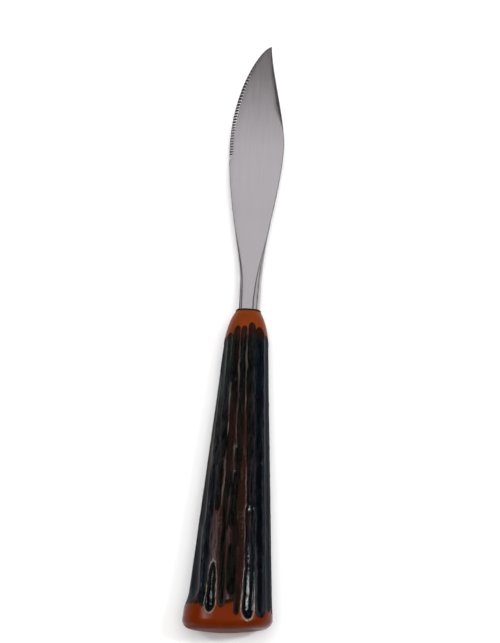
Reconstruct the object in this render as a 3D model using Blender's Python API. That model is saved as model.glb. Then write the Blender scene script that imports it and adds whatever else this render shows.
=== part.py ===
"""Table steak knife: a leaf-shaped steel blade whose hidden tang is cemented into a moulded handle.

Units are metres. The knife lies along Y with its tip at +Y, its cutting edge at -X and its spine at +X.
The handle is modelled from its butt, the blade and the cement from the nose of the handle.
"""
import math

import bmesh
import bpy
import numpy as np

# Handle, seen from above: widths across X, at stations measured from the butt or back from the nose
HANDLE_LENGTH = 0.1077
NOSE_LENGTH = 0.0157
REAR_STATION = 0.014
REAR_WIDTH = 0.0262
SHOULDER_WIDTH = 0.0160
# Handle, seen from the side: thicknesses along Z at the same stations
REAR_THICKNESS = 0.0192
SHOULDER_THICKNESS = 0.0124
# Roundness of the oval section (2 is an ellipse) and of the nose seen from above
SECTION_POWER = 2.3
NOSE_POWER = 3.0
# Swelling of the butt on the side of the cutting edge: how far from the end it starts, and where it is full
HEEL_SWELL = 0.0008
HEEL_SWELL_START = 0.012
HEEL_SWELL_FULL = 0.006
# Butt: rounded rim, domed and slightly slanted end
BUTT_ROUND = 0.0024
BUTT_DOME_RADIUS = 0.063
BUTT_SLANT = math.radians(3.3)
BUTT_FADE = 0.012

# Flutes gouged along the handle
FLUTE_WIDTH = 0.0030
FLUTE_DEPTH_TO_WIDTH = 0.17
FLUTE_END_TO_WIDTH = 1.3
# Front face, one flute a row: turn in degrees from the middle towards the spine and station in percent of
# the handle's length, at the nose end and then at the butt end, and the width as a multiple of FLUTE_WIDTH
FACE_FLUTES = (
    (67, 91, 67, 62, 0.95),
    (67, 63, 67, 30, 1.1),
    (67, 31, 68, 5.5, 1.05),
    (44, 94, 47, 50, 1.2),
    (48, 50, 51, 25, 1.45),
    (52, 26, 53, 4, 1.35),
    (18, 95, 22, 80, 0.85),
    (20, 81, 22, 65, 0.85),
    (22, 66, 28, 43, 0.9),
    (27, 45, 30, 36, 0.85),
    (28, 37, 32, 17, 1.05),
    (32, 18, 33, 2.5, 1.2),
    (-10, 93.5, -5, 84, 0.7),
    (-6, 85, 0, 67, 0.7),
    (-2, 68, 2, 52, 0.85),
    (1, 53, 2, 44, 0.85),
    (-2, 45, -4, 31, 0.95),
    (2, 32, 4, 23, 1.2),
    (-1, 24, 2, 12, 1.35),
    (12, 14, 14, 4, 0.7),
    (-34, 93.5, -28, 75, 0.85),
    (-24, 75, -20, 58, 0.9),
    (-23, 60, -19, 40, 0.75),
    (-22, 40, -18, 23, 0.8),
    (-21, 24, -14, 6, 0.9),
    (-53, 91.5, -44, 73, 0.85),
    (-49, 74, -35, 50, 1.1),
    (-43, 51, -36, 36, 0.95),
    (-39, 36, -36, 22, 0.9),
    (-37, 18, -32, 4, 1.05),
    (-69, 90, -55, 69, 1.05),
    (-58, 70, -50, 47, 1.15),
    (-54, 48, -49, 31, 1.2),
    (-53, 32, -48, 18, 1.15),
    (-51, 19, -45, 4.5, 0.85),
    (-74, 78, -72, 53, 1.05),
    (-73, 53, -66, 30, 1.15),
    (-73, 31, -60, 7, 1.35),
)
# Narrow side towards the spine, in the same columns
SIDE_FLUTES = (
    (82, 89, 81, 58, 0.9),
    (81, 58, 82, 20, 1.05),
    (82, 21, 81, 5.5, 1.05),
    (95, 88, 94, 70, 0.9),
    (94, 70, 95, 33, 1.05),
    (95, 34, 94, 6, 1.05),
)

# Blade: lengths measured from its shoulder, which meets the nose of the handle
BLADE_LENGTH = 0.108
BLADE_STOCK = 0.0016
EDGE_REACH = 0.01075
SPINE_REACH = 0.00935
BELLY_TO_TIP = 0.042
NECK_LENGTH = 0.0115
NECK_TAPER_LENGTH = 0.036
NECK_TAPER_POWER = 1.5
NECK_CHAMFER = 0.0011
SPINE_CHAMFER = 0.0004
TIP_RISE = 0.0021
TIP_WIDTH = 0.00055
TIP_THICKNESS = 0.0005
TIP_TAPER_LENGTH = 0.012
# Shape of the outline: how early the edge swells out of the neck, and how the two sides run to the tip
EDGE_SWELL_POWER = 0.8
EDGE_POINT_POWERS = (1.9, 0.72)
SPINE_POINT_POWERS = (1.45, 1.45)

# Cutting edge: ground bevel with fine saw teeth
EDGE_TO_TIP = 0.052
EDGE_RUN_IN = 0.006
EDGE_BEVEL = 0.0016
EDGE_LAND = 0.00014
TEETH_START_TO_TIP = 0.048
TEETH_END_TO_TIP = 0.007
TOOTH_PITCH = 0.00116
TOOTH_DEPTH = 0.0003

# Tang, the cement round it and the socket that holds both
TANG_LENGTH = 0.056
TANG_WIDTH = 0.0044
TANG_THICKNESS = 0.0018
TANG_END_WIDTH = 0.0030
TANG_CHAMFER = 0.0003
CEMENT_WALL = 0.0005
FIT_GAP = 0.0003
SOCKET_OVERRUN = 0.002

# Walls of the nose beside the socket, and the lip that it leaves round the neck
NOSE_SIDE_WALL = 0.00105
NOSE_FACE_WALL = 0.0005
NOSE_LIP = 0.00035
SOCKET_MARGIN = FIT_GAP + CEMENT_WALL + FIT_GAP
NOSE_WIDTH = TANG_WIDTH + 2 * (SOCKET_MARGIN + NOSE_SIDE_WALL)
NOSE_THICKNESS = TANG_THICKNESS + 2 * (SOCKET_MARGIN + NOSE_FACE_WALL)
NECK_WIDTH = NOSE_WIDTH - 2 * NOSE_LIP
NECK_THICKNESS = NOSE_THICKNESS - 2 * NOSE_LIP

# Stations along the blade that follow from its length
BELLY_STATION = BLADE_LENGTH - BELLY_TO_TIP
EDGE_STATION = BLADE_LENGTH - EDGE_TO_TIP
TEETH_START = BLADE_LENGTH - TEETH_START_TO_TIP
TEETH_END = BLADE_LENGTH - TEETH_END_TO_TIP

# Fineness of the meshes
HANDLE_SIDES = 80
HANDLE_RINGS = 58
ROUND_RINGS = 4
DOME_SCALES = (0.7, 0.4, 0.2)
BLADE_STEP = 0.004
TIP_STEPS = (0.8, 0.6, 0.4, 0.25, 0.12, 0.05, 0.0)
EDGE_SAMPLES = 400
# Largest share of the blade's width that a bevel takes at the narrow tip, and of its half thickness
BEVEL_LIMIT = 1 / 3
LAND_LIMIT = 1 / 2
SMOOTH_ANGLE = math.radians(35)


def ease(share):
    """Smooth step from 0 to 1, flat at both ends."""
    share = np.clip(share, 0.0, 1.0)
    return share * share * (3.0 - 2.0 * share)


def clear_scene():
    """Remove every object of the scene."""
    for old in list(bpy.data.objects):
        bpy.data.objects.remove(old, do_unlink=True)


def new_collection(name):
    """Add a collection to the scene."""
    collection = bpy.data.collections.new(name)
    bpy.context.scene.collection.children.link(collection)
    return collection


def new_material(name, colour, roughness, metallic):
    """Make a plain Principled material."""
    material = bpy.data.materials.new(name)
    material.use_nodes = True
    shader = material.node_tree.nodes["Principled BSDF"]
    shader.inputs["Base Color"].default_value = (*colour, 1.0)
    shader.inputs["Roughness"].default_value = roughness
    shader.inputs["Metallic"].default_value = metallic
    return material


def loft(name, rings, collection):
    """Skin a list of rings, each with the same number of points, and cap both ends."""
    shape = bmesh.new()
    rows = [[shape.verts.new(point) for point in ring] for ring in rings]
    count = len(rows[0])
    for near, far in zip(rows, rows[1:]):
        for index in range(count):
            following = (index + 1) % count
            shape.faces.new((near[index], near[following], far[following], far[index]))
    shape.faces.new(reversed(rows[0]))
    shape.faces.new(rows[-1])
    bmesh.ops.recalc_face_normals(shape, faces=shape.faces)
    mesh = bpy.data.meshes.new(name)
    shape.to_mesh(mesh)
    shape.free()
    piece = bpy.data.objects.new(name, mesh)
    collection.objects.link(piece)
    return piece


def taper(station, rear_size, shoulder_size, nose_size):
    """Size across the handle: a straight taper that rounds in to the nose."""
    shoulder = HANDLE_LENGTH - NOSE_LENGTH
    slope = (shoulder_size - rear_size) / (shoulder - REAR_STATION)
    straight = shoulder_size + slope * (station - shoulder)
    rounding = max(0.0, (station - shoulder) / NOSE_LENGTH) ** NOSE_POWER
    return straight - (shoulder_size + slope * NOSE_LENGTH - nose_size) * rounding


def section_point(station, turn):
    """Points of the smooth oval section, before any carving, as x and z for turns from +Z towards +X."""
    across = np.sin(turn)
    rise = np.cos(turn)
    half_width = taper(station, REAR_WIDTH, SHOULDER_WIDTH, NOSE_WIDTH) / 2
    half_thickness = taper(station, REAR_THICKNESS, SHOULDER_THICKNESS, NOSE_THICKNESS) / 2
    swell = HEEL_SWELL * ease((HEEL_SWELL_START - station) / (HEEL_SWELL_START - HEEL_SWELL_FULL))
    half_width = np.where(across < 0, half_width + swell, half_width)
    wide = np.abs(across / half_width) ** SECTION_POWER
    tall = np.abs(rise / half_thickness) ** SECTION_POWER
    radius = (wide + tall) ** (-1.0 / SECTION_POWER)
    return np.stack((radius * across, radius * rise), axis=-1)


def inward(points):
    """Unit directions that point into the section, from its neighbouring points."""
    along = np.roll(points, -1, axis=0) - np.roll(points, 1, axis=0)
    normal = np.stack((along[:, 1], -along[:, 0]), axis=-1)
    return normal / np.linalg.norm(normal, axis=1, keepdims=True)


def all_flutes():
    """Flutes of the whole handle: both faces and both narrow sides, the back turned half a turn."""
    front = FACE_FLUTES + SIDE_FLUTES
    back = tuple((a + 180, near, b + 180, far, width) for a, near, b, far, width in front)
    return front + back


def carving_depth(station, points):
    """How deep the flutes cut at points of one section."""
    depth = np.zeros(len(points))
    for near_turn, near_share, far_turn, far_share, width_ratio in all_flutes():
        near = near_share / 100 * HANDLE_LENGTH
        far = far_share / 100 * HANDLE_LENGTH
        width = width_ratio * FLUTE_WIDTH
        end_distance = min(near - station, station - far)
        if end_distance <= 0:
            continue
        end_share = min(1.0, end_distance / (FLUTE_END_TO_WIDTH * width))
        roundness = math.sqrt(1.0 - (1.0 - end_share) ** 2)
        turn = np.interp(station, (far, near), (far_turn, near_turn))
        middle = section_point(station, np.radians(turn))
        offset = np.linalg.norm(points - middle, axis=1) / (width / 2 * roundness)
        cut = FLUTE_DEPTH_TO_WIDTH * width * roundness * (1.0 - offset ** 2)
        depth = np.maximum(depth, cut)
    return depth


def handle_ring(station, turns):
    """One carved section of the handle."""
    smooth = section_point(station, turns)
    carved = smooth + inward(smooth) * carving_depth(station, smooth)[:, None]
    return np.stack((carved[:, 0], np.full(len(turns), station), carved[:, 1]), axis=-1)


def butt_rings(turns):
    """Rings of the rounded rim and the domed end, from the middle of the butt outwards."""
    rim = section_point(BUTT_ROUND, turns)
    reach = np.linalg.norm(rim, axis=1, keepdims=True)
    inner = rim * (1.0 - BUTT_ROUND / reach)
    flat = [inner * scale for scale in sorted(DOME_SCALES)]
    rings = [np.insert(ring, 1, 0.0, axis=1) for ring in flat]
    for step in range(ROUND_RINGS):
        swing = math.pi / 2 * step / ROUND_RINGS
        ring = inner + (rim - inner) * math.sin(swing)
        rings.append(np.insert(ring, 1, BUTT_ROUND * (1.0 - math.cos(swing)), axis=1))
    return rings


def shape_butt(ring):
    """Push a ring near the butt to the slanted dome, fading out along the handle."""
    shaped = ring.copy()
    fade = 1.0 - ease(ring[:, 1] / BUTT_FADE)
    bulge = (ring[:, 0] ** 2 + ring[:, 2] ** 2) / (2.0 * BUTT_DOME_RADIUS)
    lowest = math.tan(BUTT_SLANT) ** 2 * BUTT_DOME_RADIUS / 2.0
    shaped[:, 1] += fade * (bulge + math.tan(BUTT_SLANT) * ring[:, 0] + lowest)
    return shaped


def make_handle(collection, cutters):
    """Fluted handle with a blind socket for the tang."""
    turns = 2.0 * math.pi * np.arange(HANDLE_SIDES) / HANDLE_SIDES
    stations = np.linspace(BUTT_ROUND, HANDLE_LENGTH, HANDLE_RINGS)
    rings = butt_rings(turns) + [handle_ring(station, turns) for station in stations]
    handle = loft("handle", [shape_butt(ring) for ring in rings], collection)
    handle.data.shade_smooth()
    handle.data.set_sharp_from_angle(angle=SMOOTH_ANGLE)

    socket = loft("socket_cutter", tang_rings(SOCKET_OVERRUN, SOCKET_MARGIN), cutters)
    socket.location.y = HANDLE_LENGTH
    socket.hide_render = True
    socket.display_type = "WIRE"
    cut = handle.modifiers.new("socket", "BOOLEAN")
    cut.operation = "DIFFERENCE"
    cut.solver = "EXACT"
    cut.object = socket
    return handle


def tang_ring(station, half_width, half_thickness):
    """Eight-sided section of the tang, or of what surrounds it: a rectangle with chamfered corners."""
    return blade_ring(station, (-half_width, half_width), (TANG_CHAMFER, TANG_CHAMFER), half_thickness,
                      (half_thickness - TANG_CHAMFER, half_thickness - TANG_CHAMFER))


def tang_rings(top, margin):
    """Both end sections of the tang, grown by a margin all round, as seen from the nose of the handle."""
    root_width = TANG_WIDTH / 2 + margin
    end_width = TANG_END_WIDTH / 2 + margin
    half_thickness = TANG_THICKNESS / 2 + margin
    bottom = -TANG_LENGTH - margin
    slope = (root_width - end_width) / -bottom
    return [tang_ring(bottom, end_width, half_thickness),
            tang_ring(top, root_width + slope * top, half_thickness)]


def make_cement(collection):
    """Cup of set cement between the tang and the socket."""
    outer = tang_rings(0.0, FIT_GAP + CEMENT_WALL)
    inner = tang_rings(0.0, FIT_GAP)
    cement = loft("tang_cement", [inner[0], inner[1], outer[1], outer[0]], collection)
    cement.location.y = HANDLE_LENGTH
    return cement


def edge_line(station):
    """Distance of the cutting edge from the knife's axis, towards -X."""
    neck = NECK_WIDTH / 2
    swell = ease(np.clip((station - NECK_LENGTH) / (BELLY_STATION - NECK_LENGTH), 0, 1) ** EDGE_SWELL_POWER)
    run = np.clip((station - BELLY_STATION) / (BLADE_LENGTH - BELLY_STATION), 0, 1)
    first, second = EDGE_POINT_POWERS
    drop = 1.0 - (1.0 - run ** first) ** second
    return neck + (EDGE_REACH - neck) * swell - (EDGE_REACH + TIP_RISE) * drop


def spine_line(station):
    """Distance of the spine from the knife's axis, towards +X."""
    neck = NECK_WIDTH / 2
    swell = ease((station - NECK_LENGTH) / (BELLY_STATION - NECK_LENGTH))
    run = np.clip((station - BELLY_STATION) / (BLADE_LENGTH - BELLY_STATION), 0, 1)
    first, second = SPINE_POINT_POWERS
    drop = 1.0 - (1.0 - run ** first) ** second
    return neck + (SPINE_REACH - neck) * swell - (SPINE_REACH - TIP_RISE - TIP_WIDTH) * drop


def half_thickness_at(station):
    """Half the thickness of the cheeks: thick at the neck, plain stock along the blade, thin at the tip."""
    neck_share = (1.0 - np.clip(station / NECK_TAPER_LENGTH, 0, 1)) ** NECK_TAPER_POWER
    tip_share = ease((station - BLADE_LENGTH + TIP_TAPER_LENGTH) / TIP_TAPER_LENGTH)
    thickness = BLADE_STOCK + (NECK_THICKNESS - BLADE_STOCK) * neck_share
    return (thickness - (BLADE_STOCK - TIP_THICKNESS) * tip_share) / 2


def blade_ring(station, sides, slopes, half_thickness, half_lands):
    """Eight-sided section: two cheeks, with a slope and a land towards the edge and towards the spine."""
    edge, spine = sides
    edge_slope, spine_slope = slopes
    edge_land, spine_land = half_lands
    upper = [(edge, edge_land), (edge + edge_slope, half_thickness), (spine - spine_slope, half_thickness),
             (spine, spine_land)]
    lower = [(x, -z) for x, z in reversed(upper)]
    return [(x, station, z) for x, z in upper + lower]


def blade_section(station, notch):
    """Section of the blade or neck at one station, with the edge set back by a notch between two teeth."""
    half = half_thickness_at(station)
    sides = (-edge_line(station) + notch, spine_line(station))
    width = sides[1] - sides[0]
    neck_share = 1.0 - np.clip(station / NECK_TAPER_LENGTH, 0, 1)
    chamfer = SPINE_CHAMFER + (NECK_CHAMFER - SPINE_CHAMFER) * neck_share
    ground = ease((station - EDGE_STATION) / EDGE_RUN_IN)
    bevel = min(chamfer + (EDGE_BEVEL - chamfer) * ground, width * BEVEL_LIMIT)
    chamfer = min(chamfer, width * BEVEL_LIMIT)
    blunt = half - min(chamfer, half * LAND_LIMIT)
    land = blunt + (min(EDGE_LAND / 2, half * LAND_LIMIT) - blunt) * ground
    land += (half - land) * notch / bevel
    return blade_ring(station, sides, (bevel - notch, chamfer), half, (land, blunt))


def tooth_stations():
    """Stations of the gaps and tips of the teeth, even along the curved edge, each with its notch."""
    fine = np.linspace(TEETH_START, TEETH_END, EDGE_SAMPLES)
    steps = np.hypot(np.diff(fine), np.diff(edge_line(fine)))
    travel = np.concatenate(([0.0], np.cumsum(steps)))
    halves = 2 * int(travel[-1] / TOOTH_PITCH)
    places = np.interp(np.arange(halves + 1) * TOOTH_PITCH / 2, travel, fine)
    return [(place, TOOTH_DEPTH * (index % 2)) for index, place in enumerate(places)]


def blade_stations():
    """Stations from the shoulder to the tip, each with its notch."""
    teeth = tooth_stations()
    last = teeth[-1][0]
    plain = np.arange(0.0, TEETH_START - BLADE_STEP / 2, BLADE_STEP)
    point = BLADE_LENGTH - (BLADE_LENGTH - last) * np.array(TIP_STEPS)
    return [(place, 0.0) for place in plain] + teeth + [(place, 0.0) for place in point]


def make_blade(collection):
    """Blade, neck and tang as one piece of steel."""
    rings = tang_rings(0.0, 0.0)
    rings += [blade_section(station, notch) for station, notch in blade_stations()]
    blade = loft("blade", rings, collection)
    blade.location.y = HANDLE_LENGTH + FIT_GAP
    return blade


def stand_on_floor(pieces, root):
    """Move the whole knife so that its origin is under the middle of its box, at the height of the floor."""
    bpy.context.view_layer.update()
    corners = [piece.matrix_world @ vertex.co for piece in pieces for vertex in piece.data.vertices]
    low = [min(corner[axis] for corner in corners) for axis in range(3)]
    high = [max(corner[axis] for corner in corners) for axis in range(3)]
    root.location = (-(low[0] + high[0]) / 2, -(low[1] + high[1]) / 2, -low[2])


def main():
    """Build the knife."""
    clear_scene()
    parts = new_collection("steak_knife")
    cutters = new_collection("cutters")
    root = bpy.data.objects.new("knife_axis", None)
    parts.objects.link(root)

    handle = make_handle(parts, cutters)
    blade = make_blade(parts)
    cement = make_cement(parts)
    handle.data.materials.append(new_material("stained_resin", (0.045, 0.022, 0.014), 0.3, 0.0))
    blade.data.materials.append(new_material("satin_steel", (0.55, 0.55, 0.56), 0.32, 1.0))
    cement.data.materials.append(new_material("set_cement", (0.05, 0.03, 0.02), 0.6, 0.0))
    pieces = (handle, blade, cement)
    for piece in pieces + tuple(cutters.objects):
        piece.parent = root
    stand_on_floor(pieces, root)


main()
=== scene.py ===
"""Looks of the table steak knife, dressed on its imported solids.

Units are metres, except where a table says millimetres. The knife lies along Y with its tip at +Y, its
cutting edge at -X and its spine at +X. Stations run along Y: on the handle from its butt, on the blade from
its shoulder. A pair of values for a smooth step is where it starts and where it is full.
"""
from __future__ import annotations

import logging
import math
from dataclasses import dataclass
from enum import Enum
from typing import List, Mapping, Optional, Sequence, Tuple, Union

import bpy
import numpy as np
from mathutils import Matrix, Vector


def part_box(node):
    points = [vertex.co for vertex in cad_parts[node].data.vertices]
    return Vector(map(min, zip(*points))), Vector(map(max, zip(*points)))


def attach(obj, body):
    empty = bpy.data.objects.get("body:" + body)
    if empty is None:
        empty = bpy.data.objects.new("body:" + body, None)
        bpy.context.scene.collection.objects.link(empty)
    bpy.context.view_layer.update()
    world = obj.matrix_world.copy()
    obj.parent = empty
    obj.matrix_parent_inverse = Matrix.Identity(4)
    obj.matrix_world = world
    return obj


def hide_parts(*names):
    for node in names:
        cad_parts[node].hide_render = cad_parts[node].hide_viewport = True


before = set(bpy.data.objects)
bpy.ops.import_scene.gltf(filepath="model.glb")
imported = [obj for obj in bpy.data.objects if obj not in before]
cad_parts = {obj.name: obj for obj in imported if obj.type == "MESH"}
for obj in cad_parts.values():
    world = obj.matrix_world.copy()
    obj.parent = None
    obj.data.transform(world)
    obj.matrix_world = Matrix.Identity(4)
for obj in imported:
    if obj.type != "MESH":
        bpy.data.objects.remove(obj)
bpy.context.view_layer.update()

LOG = logging.getLogger("steak_knife")
MM = 0.001
BUMP_STRENGTH = 0.5
Colour = Tuple[float, float, float]
Tones = Tuple[Tuple[float, Colour], ...]


def ease(share: Union[float, np.ndarray]) -> Union[float, np.ndarray]:
    """Smooth step from 0 to 1, flat at both ends.

    Args:
        share: Where on the way, 0 to 1; values outside are held at the ends.

    Returns:
        The eased share.
    """
    share = np.clip(share, 0.0, 1.0)
    return share * share * (3.0 - 2.0 * share)


class Field:
    """One output of a node; arithmetic on it adds math nodes to its tree."""

    def __init__(self, sketch: "NodeSketch", socket: bpy.types.NodeSocket) -> None:
        """Keep the tree that the socket belongs to."""
        self.sketch = sketch
        self.socket = socket

    def __add__(self, other: "Operand") -> "Field":
        """Sum."""
        return self.sketch.math("ADD", self, other)

    def __sub__(self, other: "Operand") -> "Field":
        """Difference."""
        return self.sketch.math("SUBTRACT", self, other)

    def __rsub__(self, other: "Operand") -> "Field":
        """Difference from a number."""
        return self.sketch.math("SUBTRACT", other, self)

    def __mul__(self, other: "Operand") -> "Field":
        """Product."""
        return self.sketch.math("MULTIPLY", self, other)

    def __truediv__(self, other: "Operand") -> "Field":
        """Quotient."""
        return self.sketch.math("DIVIDE", self, other)


Operand = Union[Field, float, Tuple[float, ...], bpy.types.ID]


class NodeSketch:
    """Writes a node tree as formulas."""

    def __init__(self, tree: bpy.types.NodeTree) -> None:
        """Start on a tree."""
        self.tree = tree

    def node(self, kind: str, inputs: Optional[Mapping[Union[str, int], Operand]] = None,
             **settings: object) -> bpy.types.Node:
        """Add a node.

        Args:
            kind: The node's type name.
            inputs: Values or fields for its inputs, by identifier, name or index.
            **settings: The node's own properties.

        Returns:
            The node.
        """
        made = self.tree.nodes.new(kind)
        for name, value in settings.items():
            setattr(made, name, value)
        by_identifier = {socket.identifier: socket for socket in made.inputs}
        for key, value in (inputs or {}).items():
            socket = by_identifier.get(key) or made.inputs[key]
            self.wire(value, socket)
        return made

    def wire(self, value: Operand, socket: bpy.types.NodeSocket) -> None:
        """Link a field to an input, or set the input to a plain value.

        Args:
            value: The field or the plain value.
            socket: The input.
        """
        if isinstance(value, Field):
            self.tree.links.new(value.socket, socket)
        else:
            socket.default_value = value

    def out(self, made: bpy.types.Node, name: Union[str, int] = 0) -> Field:
        """One output of a node as a field."""
        return Field(self, made.outputs[name])

    def math(self, operation: str, *operands: Operand) -> Field:
        """A math node on numbers or fields."""
        return self.out(self.node("ShaderNodeMath", dict(enumerate(operands)), operation=operation))

    def clamp(self, value: Operand) -> Field:
        """A value held between 0 and 1."""
        return self.out(self.node("ShaderNodeClamp", {"Value": value}))

    def vector(self, operation: str, *operands: Operand) -> Field:
        """A vector math node; a length or a dot product comes back as a number.

        Args:
            operation: The node's operation.
            *operands: Vectors, with the factor last for SCALE.

        Returns:
            The result.
        """
        keys = ("Vector", "Scale" if operation == "SCALE" else "Vector_001")
        made = self.node("ShaderNodeVectorMath", dict(zip(keys, operands)), operation=operation)
        return self.out(made, "Value" if operation in ("DOT_PRODUCT", "LENGTH") else "Vector")

    def part(self, vector: Field, axis: str) -> Field:
        """One component of a vector."""
        return self.out(self.node("ShaderNodeSeparateXYZ", {"Vector": vector}), axis)

    def vector_of(self, x: Operand, y: Operand, z: Operand) -> Field:
        """A vector from its components."""
        return self.out(self.node("ShaderNodeCombineXYZ", {"X": x, "Y": y, "Z": z}))

    def weigh(self, fields: Sequence[Field], weights: Sequence[float]) -> Field:
        """Sum of fields, each times its weight.

        Args:
            fields: The fields.
            weights: A weight for each field and then, if there is one more, a plain number to add.

        Returns:
            The sum.
        """
        terms = [field * weight for field, weight in zip(fields, weights)]
        return sum([*terms[1:], *weights[len(fields):]], terms[0])

    def step(self, value: Field, low: Operand, high: Operand) -> Field:
        """Smooth step of a value from 0 at low to 1 at high."""
        return self.out(self.node("ShaderNodeMapRange", {"Value": value, "From Min": low, "From Max": high},
                                  interpolation_type="SMOOTHSTEP"))

    def noise(self, at: Field, scale: Operand, detail: Operand = 2.0) -> Field:
        """Noise between 0 and 1 at a position."""
        return self.out(self.node("ShaderNodeTexNoise", {"Vector": at, "Scale": scale, "Detail": detail}))

    def blend(self, share: Operand, first: Operand, second: Operand) -> Field:
        """A number between two others."""
        inputs = {"Factor_Float": share, "A_Float": first, "B_Float": second}
        return self.out(self.node("ShaderNodeMix", inputs))

    def tint(self, share: Operand, first: Operand, second: Operand, way: str = "MIX") -> Field:
        """A colour between two others, or another of the mix node's ways to join them.

        Args:
            share: How much of the second colour.
            first: The first colour, as a field or as plain red, green and blue.
            second: The second colour, likewise.
            way: How the node joins them.

        Returns:
            The colour.
        """
        first, second = ((*value, 1.0) if isinstance(value, tuple) else value for value in (first, second))
        made = self.node("ShaderNodeMix", {"Factor_Float": share, "A_Color": first, "B_Color": second},
                         data_type="RGBA", blend_type=way)
        return self.out(made, "Result")

    def ramp(self, value: Field, stops: Tones) -> Field:
        """A colour ramp.

        Args:
            value: Where on the ramp.
            stops: Place and colour of each stop.

        Returns:
            The colour.
        """
        made = self.node("ShaderNodeValToRGB", {"Fac": value})
        elements = made.color_ramp.elements
        for index, (place, colour) in enumerate(stops):
            element = elements[index] if index < 2 else elements.new(place)
            element.position = place
            element.color = (*colour, 1.0)
        return self.out(made)

    def surface_value(self, name: str) -> Field:
        """A number that is stored on the mesh, for a material."""
        return self.out(self.node("ShaderNodeAttribute", attribute_name=name), "Fac")

    def attribute(self, name: str, kind: str = "FLOAT") -> Field:
        """A value that is stored on the mesh, for a geometry tree."""
        return self.out(self.node("GeometryNodeInputNamedAttribute", {"Name": name}, data_type=kind))

    def store(self, geometry: Field, name: str, value: Field) -> Field:
        """A geometry with a number stored for each of its points."""
        inputs = {"Geometry": geometry, "Name": name, "Value": value}
        return self.out(self.node("GeometryNodeStoreNamedAttribute", inputs, data_type="FLOAT",
                                  domain="POINT"))

    def dress(self, geometry: Field, offset: Field, material: Field, result: bpy.types.Node) -> None:
        """End a geometry tree: move the points, make instances real and set the material.

        Args:
            geometry: The geometry.
            offset: How far each point moves.
            material: The material.
            result: The tree's output node.
        """
        moved = self.node("GeometryNodeSetPosition", {"Geometry": geometry, "Offset": offset})
        real = self.node("GeometryNodeRealizeInstances", {"Geometry": self.out(moved)})
        dressed = self.node("GeometryNodeSetMaterial", {"Geometry": self.out(real), "Material": material})
        self.wire(self.out(dressed), result.inputs["Geometry"])


def numbers(*labels: str) -> Mapping[str, str]:
    """Number sockets with these names, for a group."""
    return dict.fromkeys(labels, "NodeSocketFloat")


def open_group(name: str, kind: str, inputs: Mapping[str, str],
               outputs: Mapping[str, str]) -> Tuple[NodeSketch, bpy.types.Node, bpy.types.Node]:
    """Start a node group with named sockets.

    Args:
        name: The group's name.
        kind: GeometryNodeTree or ShaderNodeTree.
        inputs: Socket types of its inputs by name.
        outputs: Socket types of its outputs by name.

    Returns:
        The sketch of its tree, its input node and its output node.
    """
    tree = bpy.data.node_groups.new(name, kind)
    for direction, sockets in (("INPUT", inputs), ("OUTPUT", outputs)):
        for label, socket_type in sockets.items():
            tree.interface.new_socket(label, in_out=direction, socket_type=socket_type)
    sketch = NodeSketch(tree)
    return sketch, sketch.node("NodeGroupInput"), sketch.node("NodeGroupOutput")


def full_turn(count: int) -> np.ndarray:
    """Equal steps once round, in radians."""
    return 2.0 * math.pi * np.arange(count) / count


def upright(flat: np.ndarray, along: Union[float, np.ndarray]) -> np.ndarray:
    """Points of a section, given as x and z, set at y."""
    return np.stack((flat[:, 0], np.broadcast_to(along, len(flat)), flat[:, 1]), axis=-1)


def oval(half_width: Union[float, np.ndarray], half_thickness: float, power: float,
         turns: np.ndarray) -> np.ndarray:
    """Points of a rounded oval as x and z.

    Args:
        half_width: Half its width, for all turns or for each.
        half_thickness: Half its thickness.
        power: 2 for an ellipse, and more for a squarer shape.
        turns: Angles from +Z towards +X, in radians.

    Returns:
        One point for each turn.
    """
    across = np.sin(turns)
    rise = np.cos(turns)
    spread = np.abs(across / half_width) ** power + np.abs(rise / half_thickness) ** power
    radius = spread ** (-1.0 / power)
    return np.stack((radius * across, radius * rise), axis=-1)


def bands(rings: int, count: int, closed: bool = False) -> List[List[int]]:
    """Four-sided faces between rings of points.

    Args:
        rings: How many rings follow each other.
        count: How many points each has.
        closed: Whether the last ring meets the first.

    Returns:
        Point numbers of each face.
    """
    start = np.arange(rings if closed else rings - 1)[:, None] * count
    following = (start + count) % (rings * count)
    here = np.arange(count)[None, :]
    after = (here + 1) % count
    faces = np.stack((start + here, start + after, following + after, following + here), axis=-1)
    return faces.reshape(-1, 4).tolist()


def skin(name: str, rings: Sequence[np.ndarray]) -> bpy.types.Mesh:
    """Closed mesh through rings of the same number of points, with a pole in the middle of each end.

    Args:
        name: The mesh's name.
        rings: Points of each ring, turning clockwise as seen along the run of the rings.

    Returns:
        The mesh, its vertices ring by ring and the two poles last.
    """
    count = len(rings[0])
    points = np.concatenate([*rings, [rings[0].mean(axis=0), rings[-1].mean(axis=0)]])
    faces = bands(len(rings), count)
    last = (len(rings) - 1) * count
    pole = len(rings) * count
    faces += [((here + 1) % count, here, pole) for here in range(count)]
    faces += [(last + here, last + (here + 1) % count, pole + 1) for here in range(count)]
    mesh = bpy.data.meshes.new(name)
    mesh.from_pydata(points.tolist(), [], faces)
    mesh.update()
    return mesh


def link(name: str, data: bpy.types.ID) -> bpy.types.Object:
    """Put a mesh, camera or lamp in the scene.

    Args:
        name: The object's name.
        data: What it shows.

    Returns:
        The object, at the origin.
    """
    made = bpy.data.objects.new(name, data)
    bpy.context.scene.collection.objects.link(made)
    return made


def add_values(mesh: bpy.types.Mesh, name: str, values: np.ndarray) -> None:
    """Store a number or a vector for each vertex.

    Args:
        mesh: The mesh.
        name: The stored values' name.
        values: One number or one row of three for each vertex.
    """
    kind, key = ("FLOAT_VECTOR", "vector") if values.ndim == 2 else ("FLOAT", "value")
    layer = mesh.attributes.new(name, kind, "POINT")
    layer.data.foreach_set(key, values.astype(np.float32).ravel())


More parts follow.
